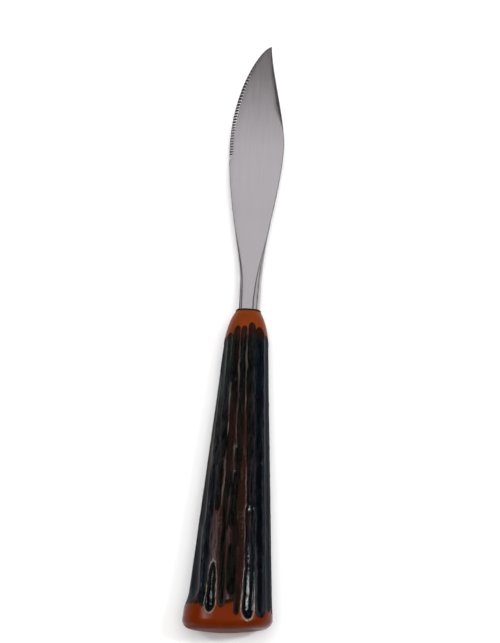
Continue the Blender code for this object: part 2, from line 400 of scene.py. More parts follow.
def apply_tree(name: str, mesh: bpy.types.Mesh, tree: bpy.types.NodeTree,
               values: Mapping[str, object]) -> bpy.types.Object:
    """Run a geometry tree on a mesh and keep the result as a plain mesh.

    Args:
        name: The finished piece's name.
        mesh: The mesh that goes in.
        tree: The geometry tree.
        values: The tree's inputs by name.

    Returns:
        The finished piece, without modifiers.
    """
    blank = link(name + "_blank", mesh)
    modifier = blank.modifiers.new(tree.name, "NODES")
    modifier.node_group = tree
    sockets = {item.name: item.identifier for item in tree.interface.items_tree if item.in_out == "INPUT"}
    for label, value in values.items():
        modifier[sockets[label]] = value
    graph = bpy.context.evaluated_depsgraph_get()
    finished = bpy.data.meshes.new_from_object(blank.evaluated_get(graph), preserve_all_data_layers=True,
                                               depsgraph=graph)
    blank.modifiers.remove(modifier)
    bpy.data.objects.remove(blank)
    finished.name = name
    return link(name, finished)


class Grain(Enum):
    """Which fine surface pattern a finish carries, as the name of its shader group."""

    LENGTHWISE = "lengthwise_grain"
    PATCHES = "patches"


class GrainLibrary:
    """Shader groups for the fine patterns that several finishes share."""

    detail = 3.0

    def __init__(self) -> None:
        """Build each group once."""
        self.groups = {Grain.LENGTHWISE: self._lengthwise(), Grain.PATCHES: self._patches()}

    def _lengthwise(self) -> bpy.types.NodeTree:
        """Fine lines that run along the knife.

        Returns:
            The group. Its Across and Along say how often the pattern changes in a metre.
        """
        sketch, given, result = open_group(Grain.LENGTHWISE.value, "ShaderNodeTree",
                                           numbers("Across", "Along", "Contrast"), numbers("Lines"))
        place = sketch.out(sketch.node("ShaderNodeTexCoord"), "Object")
        across = sketch.out(given, "Across")
        stretch = sketch.vector_of(across, sketch.out(given, "Along"), across)
        cloud = sketch.noise(sketch.vector("MULTIPLY", place, stretch), 1.0, self.detail)
        return self._spread(sketch, given, result, cloud)

    def _patches(self) -> bpy.types.NodeTree:
        """Cloudy patches.

        Returns:
            The group. Its Size is how large they are.
        """
        sketch, given, result = open_group(Grain.PATCHES.value, "ShaderNodeTree", numbers("Size", "Contrast"),
                                           numbers("Mask"))
        place = sketch.out(sketch.node("ShaderNodeTexCoord"), "Object")
        cloud = sketch.noise(place, sketch.math("DIVIDE", 1.0, sketch.out(given, "Size")), self.detail)
        return self._spread(sketch, given, result, cloud)

    @staticmethod
    def _spread(sketch: NodeSketch, given: bpy.types.Node, result: bpy.types.Node,
                cloud: Field) -> bpy.types.NodeTree:
        """End a group with its noise at the contrast that is asked for.

        Args:
            sketch: The group's tree.
            given: Its input node.
            result: Its output node.
            cloud: The noise.

        Returns:
            The finished group.
        """
        spread = (cloud - 0.5) * sketch.out(given, "Contrast") + 0.5
        sketch.wire(sketch.clamp(spread), result.inputs[0])
        return sketch.tree

    def place(self, sketch: NodeSketch, grain: Grain, **values: float) -> Field:
        """Add a pattern to a material.

        Args:
            sketch: The material's tree.
            grain: Which pattern.
            **values: The pattern's inputs.

        Returns:
            The pattern, between 0 and 1.
        """
        made = sketch.node("ShaderNodeGroup", node_tree=self.groups[grain])
        for label, value in values.items():
            made.inputs[label].default_value = value
        return sketch.out(made)


@dataclass(frozen=True)
class Lines:
    """Fine lines along the knife: how wide and how long they are, and their contrast."""

    width: float
    length: float
    contrast: float

    def on(self, sketch: NodeSketch, grains: GrainLibrary) -> Field:
        """The lines in a material, between 0 and 1."""
        return grains.place(sketch, Grain.LENGTHWISE, Across=1 / self.width, Along=1 / self.length,
                            Contrast=self.contrast)


@dataclass(frozen=True)
class Patches:
    """Cloudy patches: how large they are, and their contrast."""

    size: float
    contrast: float

    def on(self, sketch: NodeSketch, grains: GrainLibrary) -> Field:
        """The patches in a material, between 0 and 1."""
        return grains.place(sketch, Grain.PATCHES, Size=self.size, Contrast=self.contrast)


def open_material(name: str) -> Tuple[NodeSketch, bpy.types.Node, bpy.types.Material]:
    """Start a material.

    Args:
        name: The material's name.

    Returns:
        The sketch of its tree, its Principled shader and the material.
    """
    material = bpy.data.materials.new(name)
    material.use_nodes = True
    return NodeSketch(material.node_tree), material.node_tree.nodes["Principled BSDF"], material


def add_bump(sketch: NodeSketch, shader: bpy.types.Node, height: Field, distance: float) -> None:
    """Give a shader its fine relief."""
    bump = sketch.node("ShaderNodeBump", {"Height": height, "Strength": BUMP_STRENGTH, "Distance": distance})
    sketch.wire(sketch.out(bump), shader.inputs["Normal"])


@dataclass(frozen=True)
class SatinSteel:
    """Stainless steel ground along its length, with faint smudges, and rough tooth grooves darkened with
    painted shade.
    """

    bright: Colour = (0.85, 0.825, 0.853)
    dull: Colour = (0.66, 0.628, 0.637)
    lines: Lines = Lines(0.22 * MM, 14.0 * MM, 2.2)
    streaks: Lines = Lines(1.1 * MM, 30.0 * MM, 2.2)
    smudges: Patches = Patches(9.0 * MM, 1.6)
    mottle_shares: Tuple[float, ...] = (0.4, 0.25, 0.35)
    roughness: float = 0.17
    roughness_spread: float = 0.1
    relief: float = 0.012 * MM
    relief_shares: Tuple[float, ...] = (0.6, 0.4)
    # Near-black that is painted into the tooth grooves as shade
    groove_painted_shade: Colour = (0.028, 0.024, 0.021)
    groove_roughness: float = 0.25
    groove_depths: Tuple[float, float] = (0.02, 0.3)

    def material(self, grains: GrainLibrary) -> bpy.types.Material:
        """Make the material.

        Args:
            grains: The shared patterns.

        Returns:
            The material, which reads the blade's groove value.
        """
        sketch, shader, material = open_material("satin_steel")
        lines, streaks, smudges = (grain.on(sketch, grains)
                                   for grain in (self.lines, self.streaks, self.smudges))
        groove = sketch.step(sketch.surface_value("groove"), *self.groove_depths)
        mottle = sketch.weigh((lines, streaks, smudges), self.mottle_shares)
        # Painted shade: the tooth grooves are darkened towards a near-black colour
        colour = sketch.tint(groove, sketch.tint(mottle, self.dull, self.bright), self.groove_painted_shade)
        sketch.wire(colour, shader.inputs["Base Color"])
        rough = sketch.weigh((mottle, groove), (self.roughness_spread, self.groove_roughness, self.roughness))
        sketch.wire(rough, shader.inputs["Roughness"])
        shader.inputs["Metallic"].default_value = 1.0
        add_bump(sketch, shader, sketch.weigh((lines, streaks), self.relief_shares), self.relief)
        return material


@dataclass(frozen=True)
class WornSpot:
    """Oval place on both faces where handling has worn the stain, with its sizes in millimetres."""

    x: float
    station: float
    half_width: float
    half_length: float
    strength: float

    def mask(self, sketch: NodeSketch, across: Field, along: Field) -> Field:
        """How far the stain is worn at a place.

        Args:
            sketch: The material's tree.
            across: Distance from the knife's axis towards the spine.
            along: Distance from the butt.

        Returns:
            The mask, full in the middle and zero at the rim.
        """
        x = (across - self.x * MM) / (self.half_width * MM)
        y = (along - self.station * MM) / (self.half_length * MM)
        return sketch.step(x * x + y * y, 1.0, 0.0) * self.strength


@dataclass(frozen=True)
class HandleSurface:
    """What the resin reads at a place: where it lies, how it is carved and worn, and each pattern there.

    side is full on both sides of the face's middle, spine only on the spine's, and narrow at the outline.
    """

    station: Field
    carve: Field
    bank: Field
    rim: Field
    worn: Field
    rubbed: Field
    spine: Field
    side: Field
    narrow: Field
    mottle: Field
    specks: Field
    scratches: Field
    streaks: Field
    tones: Field


@dataclass(frozen=True)
class StainedResin:
    """Glossy moulded resin: caramel where bare, stained red-brown to black along the gouges.

    A tuple of shares weighs the patterns that it is used with; a last number more than these is added.
    """

    # Bare caramel, amber, dark red and dark brown, as the stain gets stronger
    stain_tones: Tones = (
        (0.0, (0.165, 0.030, 0.0045)), (0.3, (0.105, 0.026, 0.008)),
        (0.5, (0.024, 0.0045, 0.0022)), (0.74, (0.0120, 0.0060, 0.0044)))
    middle_tones: Tones = (
        (0.0, (0.0115, 0.0108, 0.0074)), (0.35, (0.0200, 0.0115, 0.0085)),
        (0.6, (0.0430, 0.0128, 0.0092)), (0.85, (0.0590, 0.0284, 0.0216)))
    side_tones: Tones = (
        (0.0, (0.0036, 0.0100, 0.0105)), (0.3, (0.0042, 0.0075, 0.0160)),
        (0.55, (0.0115, 0.0110, 0.0115)), (0.75, (0.0170, 0.0088, 0.0170)),
        (0.95, (0.0180, 0.0130, 0.0110)))
    hue_shares: Tuple[float, ...] = (0.6, 0.4)
    ridge_shares: Tuple[float, ...] = (0.9, 0.9, 0.1)
    spine_shade: Tuple[float, ...] = (-0.4, 1.15)
    rubbed_colour: Colour = (0.074, 0.036, 0.031)
    rubbed_shares: Tuple[float, ...] = (0.7, 0.9, 0.25)
    rubbed_streaks: Tuple[float, ...] = (0.9, 0.5)
    middle_black: Colour = (0.0045, 0.0038, 0.0032)
    spine_black: Colour = (0.0026, 0.0044, 0.0075)
    edge_black: Colour = (0.0056, 0.0074, 0.0095)
    floor_hue: float = 0.4
    floor_shares: Tuple[float, ...] = (1.1, 0.6, 0.05)
    floor_depths: Tuple[float, float] = (0.05, 0.32)
    deep_floors: Tuple[float, float] = (1.0, 1.6)
    deep_shade: float = 0.65
    pale_edge: Tuple[float, float] = (38.0 * MM, 58.0 * MM)
    edge_lift: Colour = (2.3, 1.75, 1.35)
    # Pale grey of the banks: partly stain wiped off the ridges, partly painted sheen
    bank_wear_and_sheen: Colour = (0.105, 0.092, 0.082)
    bank_sums: Tuple[float, float] = (0.9, 1.5)
    bank_polish: Tuple[float, ...] = (0.12, 0.6, 0.06)
    bank_shares: Tuple[float, ...] = (0.8, 0.4)
    wiped_and_sheen_end: Tuple[float, float] = (7.0 * MM, 17.0 * MM)
    # Painted highlight on the rims at the far ends of the deep gouges, broken up by specks
    painted_rim_highlight: Colour = (0.46, 0.33, 0.25)
    rim_highlight_specks: Tuple[float, ...] = (0.6, 0.4)
    nose_line: Tuple[float, float] = (102.5 * MM, 92.0 * MM)
    butt_line: Tuple[float, float] = (6.2 * MM, 10.5 * MM)
    wander: float = 3.0 * MM
    gouge_stain: float = 6.0
    gouge_wear: float = 0.5
    red_tips: Tuple[float, float] = (94.0 * MM, 101.0 * MM)
    tip_fade: float = 0.38
    stain_specks: float = 0.14
    full_stain: Tuple[float, float] = (0.72, 0.95)
    grey_nose: Tuple[float, float] = (66.0 * MM, 82.0 * MM)
    grey_butt: Tuple[float, float] = (34.0 * MM, 22.0 * MM)
    grey_butt_share: float = 0.7
    grey_tint: Colour = (0.64, 0.97, 1.03)
    tinted_butt: Tuple[float, float] = (40.0 * MM, 15.0 * MM)
    butt_tint: Colour = (0.69, 0.44, 0.10)
    bare_mottle: Tuple[float, ...] = (0.4, 0.8)
    wear_mottle: Tuple[float, ...] = (0.8, 0.6)
    wear_spots: Tuple[WornSpot, ...] = (
        WornSpot(1.4, 62, 1.8, 16, 0.30),
        WornSpot(1.7, 43, 1.8, 13, 0.34),
        WornSpot(2.8, 24, 1.6, 14, 0.30),
        WornSpot(2.6, 12, 2.6, 7, 0.30),
        WornSpot(-3.2, 69, 2.4, 11, 0.36),
        WornSpot(-2.3, 55, 2.4, 10, 0.36),
        WornSpot(0.4, 29.5, 2.4, 6, 0.34),
        WornSpot(-4.4, 38, 1.6, 22, 0.22),
        WornSpot(-4.0, 93, 5.0, 11, 0.25),
    )
    rubbed_spots: Tuple[WornSpot, ...] = (
        WornSpot(0.8, 84, 1.6, 17, 0.28),
        WornSpot(2.8, 44, 1.8, 20, 0.8),
        WornSpot(3.4, 24, 1.5, 14, 0.7),
        WornSpot(-4.0, 69, 1.8, 10, 1.0),
        WornSpot(-4.6, 40, 1.6, 22, 0.4),
        WornSpot(-6.7, 56, 2.6, 13, 0.45),
        WornSpot(-2.4, 56, 2.2, 13, 0.4),
    )
    # Half the handle's width at the butt, and how it changes along the handle
    half_width: Tuple[float, float] = (14.0 * MM, -0.0654)
    # Zones across the handle, in shares of its half width
    spine_zone: Tuple[float, float] = (0.25, 0.55)
    edge_zone: Tuple[float, float] = (-0.40, -0.70)
    narrow_zone: Tuple[float, float] = (0.70, 0.90)
    zone_mottle: float = 0.6
    mottle: Patches = Patches(5.0 * MM, 1.8)
    specks: Patches = Patches(0.8 * MM, 2.2)
    scratches: Lines = Lines(0.5 * MM, 5.0 * MM, 3.6)
    streaks: Lines = Lines(0.75 * MM, 14.0 * MM, 3.0)
    tones: Lines = Lines(2.4 * MM, 28.0 * MM, 2.6)
    roughness: float = 0.08
    roughness_spread: float = 0.08
    gloss_shares: Tuple[float, ...] = (0.6, 0.4)
    bare_roughness: float = 0.11
    end_roughness: float = 0.4
    end_depths: Tuple[float, float] = (2.0 * MM, 0.8 * MM)
    narrow_roughness: float = 0.5
    specular: float = 0.12
    relief: float = 0.045 * MM
    relief_shares: Tuple[float, ...] = (0.5, 0.5)

    def material(self, grains: GrainLibrary, axis_x: float, butt: float) -> bpy.types.Material:
        """Make the material.

        Args:
            grains: The shared patterns.
            axis_x: X of the knife's axis.
            butt: Y of the handle's butt.

        Returns:
            The material, which reads the handle's carve, bank and rim values.
        """
        sketch, shader, material = open_material("stained_resin")
        at = self.read(sketch, grains, axis_x, butt)
        dyed = self.dye(sketch, at)
        stain = self.strength(sketch, at, dyed)
        sketch.wire(self.colour(sketch, at, dyed, stain), shader.inputs["Base Color"])
        ends = sketch.step(at.station, *self.end_depths)
        dull = sketch.weigh((1.0 - stain, ends, at.narrow * stain),
                            (self.bare_roughness, self.end_roughness, self.narrow_roughness, self.roughness))
        gloss = sketch.weigh((at.scratches, at.specks), self.gloss_shares)
        sketch.wire(gloss * self.roughness_spread + dull, shader.inputs["Roughness"])
        shader.inputs["Specular IOR Level"].default_value = self.specular
        add_bump(sketch, shader, sketch.weigh((at.scratches, at.specks), self.relief_shares), self.relief)
        return material

    def read(self, sketch: NodeSketch, grains: GrainLibrary, axis_x: float, butt: float) -> HandleSurface:
        """Collect what the resin reads.

        Args:
            sketch: The material's tree.
            grains: The shared patterns.
            axis_x: X of the knife's axis.
            butt: Y of the handle's butt.

        Returns:
            The fields.
        """
        place = sketch.out(sketch.node("ShaderNodeTexCoord"), "Object")
        across = sketch.part(place, "X") - axis_x
        station = sketch.part(place, "Y") - butt
        patterns = {name: getattr(self, name).on(sketch, grains)
                    for name in ("mottle", "specks", "scratches", "streaks", "tones")}
        at_butt, slope = self.half_width
        share = across / sketch.weigh((station,), (slope, at_butt))
        spine = sketch.step(share, *self.spine_zone)
        side = sketch.math("MAXIMUM", spine, sketch.step(share, *self.edge_zone))
        side = sketch.clamp(side + (patterns["mottle"] - 0.5) * self.zone_mottle)
        narrow = sketch.step(sketch.math("ABSOLUTE", share), *self.narrow_zone)
        worn, rubbed = ([spot.mask(sketch, across, station) for spot in spots]
                        for spots in (self.wear_spots, self.rubbed_spots))
        worn = sum(worn[1:], worn[0]) * sketch.weigh((patterns["mottle"],), self.wear_mottle)
        rubbed = sum(rubbed[1:], rubbed[0])
        carving = {name: sketch.surface_value(name) for name in ("carve", "bank", "rim")}
        return HandleSurface(station=station, worn=worn, rubbed=rubbed, spine=spine, side=side, narrow=narrow,
                             **carving, **patterns)

    def dye(self, sketch: NodeSketch, at: HandleSurface) -> Field:
        """Where the dye was laid on, with ragged ends towards the nose and the butt."""
        ragged = at.station + (at.mottle - 0.5) * self.wander
        return sketch.step(ragged, *self.nose_line) * sketch.step(ragged, *self.butt_line)

    def strength(self, sketch: NodeSketch, at: HandleSurface, dyed: Field) -> Field:
        """How strong the stain is.

        Args:
            sketch: The material's tree.
            at: What the resin reads.
            dyed: Where the dye was laid on.

        Returns:
            The strength, from bare resin to full stain.
        """
        tips = 1.0 - sketch.step(at.station, *self.red_tips) * self.tip_fade
        gouged = sketch.clamp(at.carve * self.gouge_stain) * tips
        dark = sketch.math("MAXIMUM", dyed * (1.0 - at.worn), gouged * (1.0 - at.worn * self.gouge_wear))
        return sketch.clamp(dark + (at.specks - 0.5) * self.stain_specks)

    def full_colour(self, sketch: NodeSketch, at: HandleSurface) -> Field:
        """Colour of the full stain on the ridges, where they are rubbed, and in the gouges.

        Args:
            sketch: The material's tree.
            at: What the resin reads.

        Returns:
            The colour.
        """
        hue = sketch.ramp(sketch.weigh((at.tones, at.mottle), self.hue_shares), self.side_tones)
        ridge = sketch.tint(at.side, sketch.ramp(at.tones, self.middle_tones), hue)
        shade = sketch.weigh((at.streaks, at.scratches), self.ridge_shares)
        ridge = sketch.vector("SCALE", ridge, shade * sketch.weigh((at.spine,), self.spine_shade))
        shade = sketch.weigh((at.streaks, at.scratches), self.rubbed_shares)
        rubbed = sketch.vector("SCALE", self.rubbed_colour, shade)
        ridge = sketch.tint(at.rubbed * sketch.weigh((at.streaks,), self.rubbed_streaks), ridge, rubbed)
        black = sketch.tint(self.floor_hue, sketch.tint(at.spine, self.edge_black, self.spine_black), hue)
        black = sketch.tint(at.side, self.middle_black, black)
        deep = 1.0 - sketch.step(at.carve, *self.deep_floors) * self.deep_shade
        shade = sketch.weigh((at.scratches, at.specks), self.floor_shares)
        floor = sketch.vector("SCALE", black, shade * deep)
        stained = sketch.tint(sketch.step(at.carve, *self.floor_depths), ridge, floor)
        pale = at.side * (1.0 - at.spine) * sketch.step(at.station, *self.pale_edge)
        return sketch.tint(pale, stained, self.edge_lift, "MULTIPLY")

    def colour(self, sketch: NodeSketch, at: HandleSurface, dyed: Field, stain: Field) -> Field:
        """Colour of the handle.

        Args:
            sketch: The material's tree.
            at: What the resin reads.
            dyed: Where the dye was laid on.
            stain: How strong the stain is.

        Returns:
            The colour of bare and stained resin, with banks along the gouges that are partly wiped stain and
            partly painted sheen, and painted highlights on the gouges' rims.
        """
        tinted = sketch.step(at.station, *self.tinted_butt) * (1.0 - stain)
        bare = sketch.tint(tinted, sketch.ramp(stain, self.stain_tones), self.butt_tint, "MULTIPLY")
        bare = sketch.vector("SCALE", bare, sketch.weigh((at.mottle,), self.bare_mottle))
        full = sketch.step(stain, *self.full_stain)
        colour = sketch.tint(full, bare, self.full_colour(sketch, at))
        # Banks along the gouges are lightened to a pale grey, strongest near the outline: partly wiped stain,
        # partly painted sheen
        polish = at.rubbed + sketch.weigh((1.0 - at.side, at.narrow), self.bank_polish)
        polish = polish * sketch.step(at.station, *self.wiped_and_sheen_end) * dyed
        wiped_and_sheen = sketch.weigh((at.streaks, at.mottle), self.bank_shares) * polish
        colour = sketch.tint(sketch.step(at.bank, *self.bank_sums) * wiped_and_sheen, colour, self.bank_wear_and_sheen)
        grey_nose = sketch.step(at.station, *self.grey_nose)
        grey = grey_nose + sketch.step(at.station, *self.grey_butt) * self.grey_butt_share
        colour = sketch.tint(grey * full, colour, self.grey_tint, "MULTIPLY")
        # Painted highlight: the rims of the deep gouges are lightened towards a pale peach
        return sketch.tint(at.rim * sketch.weigh((at.specks,), self.rim_highlight_specks), colour, self.painted_rim_highlight)


@dataclass(frozen=True)
class SetCement:
    """Dull dark cement with a fine crumb."""

    dark: Colour = (0.006, 0.004, 0.003)
    pale: Colour = (0.016, 0.011, 0.008)
    crumbs: Patches = Patches(0.4 * MM, 2.0)
    roughness: float = 0.6
    roughness_spread: float = 0.2
    specular: float = 0.15
    relief: float = 0.05 * MM

    def material(self, grains: GrainLibrary) -> bpy.types.Material:
        """Make the material.

        Args:
            grains: The shared patterns.

        Returns:
            The material.
        """
        sketch, shader, material = open_material("set_cement")
        shader.inputs["Specular IOR Level"].default_value = self.specular
        crumbs = self.crumbs.on(sketch, grains)
        sketch.wire(sketch.tint(crumbs, self.dark, self.pale), shader.inputs["Base Color"])
        sketch.wire(crumbs * self.roughness_spread + self.roughness, shader.inputs["Roughness"])
        add_bump(sketch, shader, crumbs, self.relief)
        return material


@dataclass(frozen=True)
class KnifeAxis:
    """Line through the middle of the tang, from which the handle and the blade are measured."""

    x: float
    z: float
    nose: float
    tip: float

    @classmethod
    def of_frame(cls) -> "KnifeAxis":
        """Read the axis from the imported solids.

        Returns:
            The axis.
        """
        low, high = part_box("tang_cement")
        middle = (low + high) / 2
        return cls(middle.x, middle.z, high.y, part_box("blade")[1].y)

    def place(self, start: float, points: np.ndarray) -> np.ndarray:
        """Points measured from the axis and from a station, moved to the frame."""
        return points + np.array((self.x, start, self.z))


# How much finer than the wobble of a flute its ripple and its lumps are, and the detail of the wobble
RIPPLE_PACE = 4.0
LUMP_PACE = 1.7
WOBBLE_DETAIL = 3.0
# How far from its middle line a flute is cut, in widths
FLUTE_REACH = 1.5
# Where along a flute its painted rim highlight comes in, and where across it its banks lie, in half widths
RIM_HIGHLIGHT_SHARES = (0.2, 0.75)
BANK_PLACE = 1.1


def carving_tree() -> bpy.types.NodeTree:
    """Geometry tree that gouges a list of flutes into a smooth handle.

    Returns:
        The tree. Its strokes come as an object with one vertex for each flute at its end towards the nose,
        with the vector far_end and the numbers near_width, far_width, depth and crisp. It leaves the values
        carve, rim and bank on the handle; rim marks where a highlight is painted round the far end of a deep
        flute.
    """
    inputs = {"Geometry": "NodeSocketGeometry", "Strokes": "NodeSocketObject", "Soften": "NodeSocketInt",
              **numbers("Depth To Width", "Spread", "Sink", "Round Floor", "Flat Floor", "Round End",
                        "Open End", "Rim", "Bank", "Wobble", "Wobble Size", "Ripple", "Lumps", "Full Stain"),
              "Material": "NodeSocketMaterial"}
    sketch, given, result = open_group("gouged_flutes", "GeometryNodeTree", inputs,
                                       {"Geometry": "NodeSocketGeometry"})
    take = {label: sketch.out(given, label) for label in inputs}
    strokes = sketch.out(sketch.node("GeometryNodeObjectInfo", {"Object": take["Strokes"]}), "Geometry")
    count = sketch.out(sketch.node("GeometryNodeAttributeDomainSize", {"Geometry": strokes}), "Point Count")
    here = sketch.out(sketch.node("GeometryNodeInputPosition"))
    normal = sketch.out(sketch.node("GeometryNodeInputNormal"), "Normal")
    sideways = sketch.vector("NORMALIZE", sketch.vector("CROSS_PRODUCT", (0.0, 1.0, 0.0), normal))
    pace = sketch.math("DIVIDE", 1.0, take["Wobble Size"])
    drift = (sketch.noise(here, pace, WOBBLE_DETAIL) - 0.5) * take["Wobble"]
    ripple = (sketch.noise(here, pace * RIPPLE_PACE) - 0.5) * take["Ripple"]
    lumps = (sketch.noise(here, pace * LUMP_PACE) - 0.5) * take["Lumps"] + 1.0

    opening = sketch.node("GeometryNodeRepeatInput", {"Iterations": count})
    closing = sketch.node("GeometryNodeRepeatOutput")
    opening.pair_with_output(closing)
    sketch.wire(take["Geometry"], opening.inputs["Geometry"])
    index = sketch.out(opening, "Iteration")

    def of_stroke(value: Field, kind: str = "FLOAT") -> Field:
        """A value of the stroke that is being cut."""
        inputs = {"Geometry": strokes, "Value": value, "Index": index}
        return sketch.out(sketch.node("GeometryNodeSampleIndex", inputs, data_type=kind), "Value")

    near = of_stroke(here, "FLOAT_VECTOR")
    far = of_stroke(sketch.attribute("far_end", "FLOAT_VECTOR"), "FLOAT_VECTOR")
    near_width, far_width, depth, crisp = (of_stroke(sketch.attribute(name))
                                           for name in ("near_width", "far_width", "depth", "crisp"))
    from_near = sketch.part(near, "Y") - sketch.part(here, "Y")
    from_far = sketch.part(here, "Y") - sketch.part(far, "Y")
    share = sketch.clamp(from_near / (from_near + from_far))
    width = sketch.blend(share, near_width, far_width) * take["Spread"]
    run = sketch.vector("SUBTRACT", far, near)
    middle = sketch.vector("ADD", near, sketch.vector("SCALE", run, share))
    offset = sketch.vector("SUBTRACT", here, middle)
    lateral = sketch.vector("DOT_PRODUCT", offset, sideways) + drift + ripple * (1.0 - crisp)
    close = sketch.math("LESS_THAN", sketch.vector("LENGTH", offset), width * FLUTE_REACH)
    run_in = sketch.blend(crisp, take["Round End"], take["Open End"])
    inside = sketch.math("MINIMUM", from_near / run_in, from_far / take["Round End"]) / width
    back = 1.0 - sketch.math("MINIMUM", inside, 1.0)
    slant = sketch.math("ABSOLUTE", lateral / width * 2.0)
    outline = slant * slant + back * back
    full = width * take["Depth To Width"] * depth * (crisp * (share - 0.5) * take["Sink"] + 1.0)
    hollow = sketch.math("POWER", outline, sketch.blend(crisp, take["Round Floor"], take["Flat Floor"]))
    cut = full * lumps * sketch.clamp(1.0 - hollow) * close
    off_rim = sketch.math("ABSOLUTE", outline - 1.0) / take["Rim"]
    # Mask for a painted highlight along the outline, towards the far end of a deep flute
    rim = sketch.clamp(1.0 - off_rim) * crisp * sketch.step(share, *RIM_HIGHLIGHT_SHARES) * close
    off_bank = sketch.math("ABSOLUTE", slant - BANK_PLACE) / take["Bank"]
    bank = sketch.clamp(1.0 - off_bank) * sketch.clamp(inside) * close
    geometry = sketch.out(opening, "Geometry")
    for name, value, way in (("cut", cut, "MAXIMUM"), ("rim", rim, "MAXIMUM"), ("bank", bank, "ADD")):
        geometry = sketch.store(geometry, name, sketch.math(way, sketch.attribute(name), value))
    sketch.wire(geometry, closing.inputs["Geometry"])

    whole = {"Value": sketch.attribute("cut"), "Iterations": take["Soften"]}
    soft = sketch.out(sketch.node("GeometryNodeBlurAttribute", whole))
    carved = sketch.store(sketch.out(closing, "Geometry"), "carve", soft / take["Full Stain"])
    push = sketch.vector("SCALE", normal, sketch.attribute("carve") * take["Full Stain"] * -1.0)
    sketch.dress(carved, push, take["Material"], result)
    return sketch.tree


# Front face, one flute a row: turn in degrees from the middle towards the spine and station in millimetres
# from the butt, at the end towards the nose and then at the other, the width in millimetres at both ends, and
# how deep it is cut compared with the others
FACE_FLUTES = (
    (67, 98.5, 67, 66, 2.6, 3.3, 0.9),
    (67, 69, 67, 31, 3.3, 3.2, 0.9),
    (67, 34, 68, 6.5, 3.2, 3.1, 0.9),
    (44, 101, 47, 51, 3.2, 4.0, 0.9),
    (48, 56, 51, 24, 4.2, 4.5, 0.9),
    (52, 30, 53, 4.5, 4.3, 3.9, 0.9),
    (18, 102.5, 22, 85.5, 2.4, 2.7, 1.0),
    (19.5, 87, 22, 69.5, 2.5, 2.5, 1.0),
    (23, 71, 29.5, 43, 2.6, 2.5, 0.8),
    (29, 53, 32.5, 38, 2.3, 2.8, 1.0),
    (30.5, 40, 33, 18, 3.2, 2.9, 0.9),
    (32, 21.5, 33, 3.5, 2.7, 4.4, 1.3),
    (-10.5, 101, -5, 89.5, 2.1, 2.2, 1.0),
    (-6.5, 93, 0.5, 70, 2.0, 2.1, 0.8),
    (-2, 76, 2.5, 54, 2.5, 2.6, 0.7),
    (0.5, 60, 2, 45, 2.6, 2.6, 0.8),
    (-2, 51, -4, 31, 2.9, 2.9, 0.6),
    (2, 35, 4.5, 24, 3.2, 3.4, 0.25),
    (-0.5, 28, 2, 9.5, 3.8, 4.4, 0.25),
    (11.5, 16, 14, 4.5, 1.9, 2.3, 0.3),
    (-34, 101, -28, 80, 2.2, 3.0, 1.0),
    (-24.5, 83, -20, 61, 2.7, 2.7, 0.4),
    (-23.5, 67, -19, 41, 2.0, 2.6, 0.8),
    (-22.5, 46, -18.5, 23, 2.3, 2.5, 0.35),
    (-20, 26, -14.5, 6.5, 2.8, 2.8, 0.25),
    (-53.5, 98.5, -44, 78, 2.7, 2.5, 1.0),
    (-49.5, 81, -35, 53, 3.2, 3.5, 0.9),
    (-43, 58, -36.5, 36.5, 3.0, 2.7, 0.5),
    (-34, 20.8, -33.5, 5, 1.4, 4.0, 1.3),
    (-68.5, 97, -55.5, 73, 3.1, 3.1, 0.9),
    (-58, 78, -49.5, 50, 3.8, 3.2, 0.9),
    (-54.5, 54, -48.5, 33, 3.6, 3.5, 0.9),
    (-53, 36, -48, 19, 3.5, 3.5, 0.9),
    (-50.5, 21, -45, 7, 2.9, 2.3, 0.8),
    (-74, 85, -72.5, 56, 3.0, 3.4, 0.9),
    (-73, 58, -66, 31, 3.4, 3.6, 0.9),
    (-73, 34, -60, 9.5, 3.8, 4.2, 0.9),
)
# Narrow side towards the spine, in the same columns
SIDE_FLUTES = (
    (82, 97, 81, 59, 1.9, 2.4, 1.0),
    (81, 61, 82, 21, 2.3, 2.6, 1.0),
    (82, 24, 81, 6, 2.4, 2.6, 1.0),
    (95, 96, 94, 74, 1.9, 2.4, 1.0),
    (94, 76, 95, 35, 2.3, 2.6, 1.0),
    (95, 38, 94, 7, 2.4, 2.6, 1.0),
)


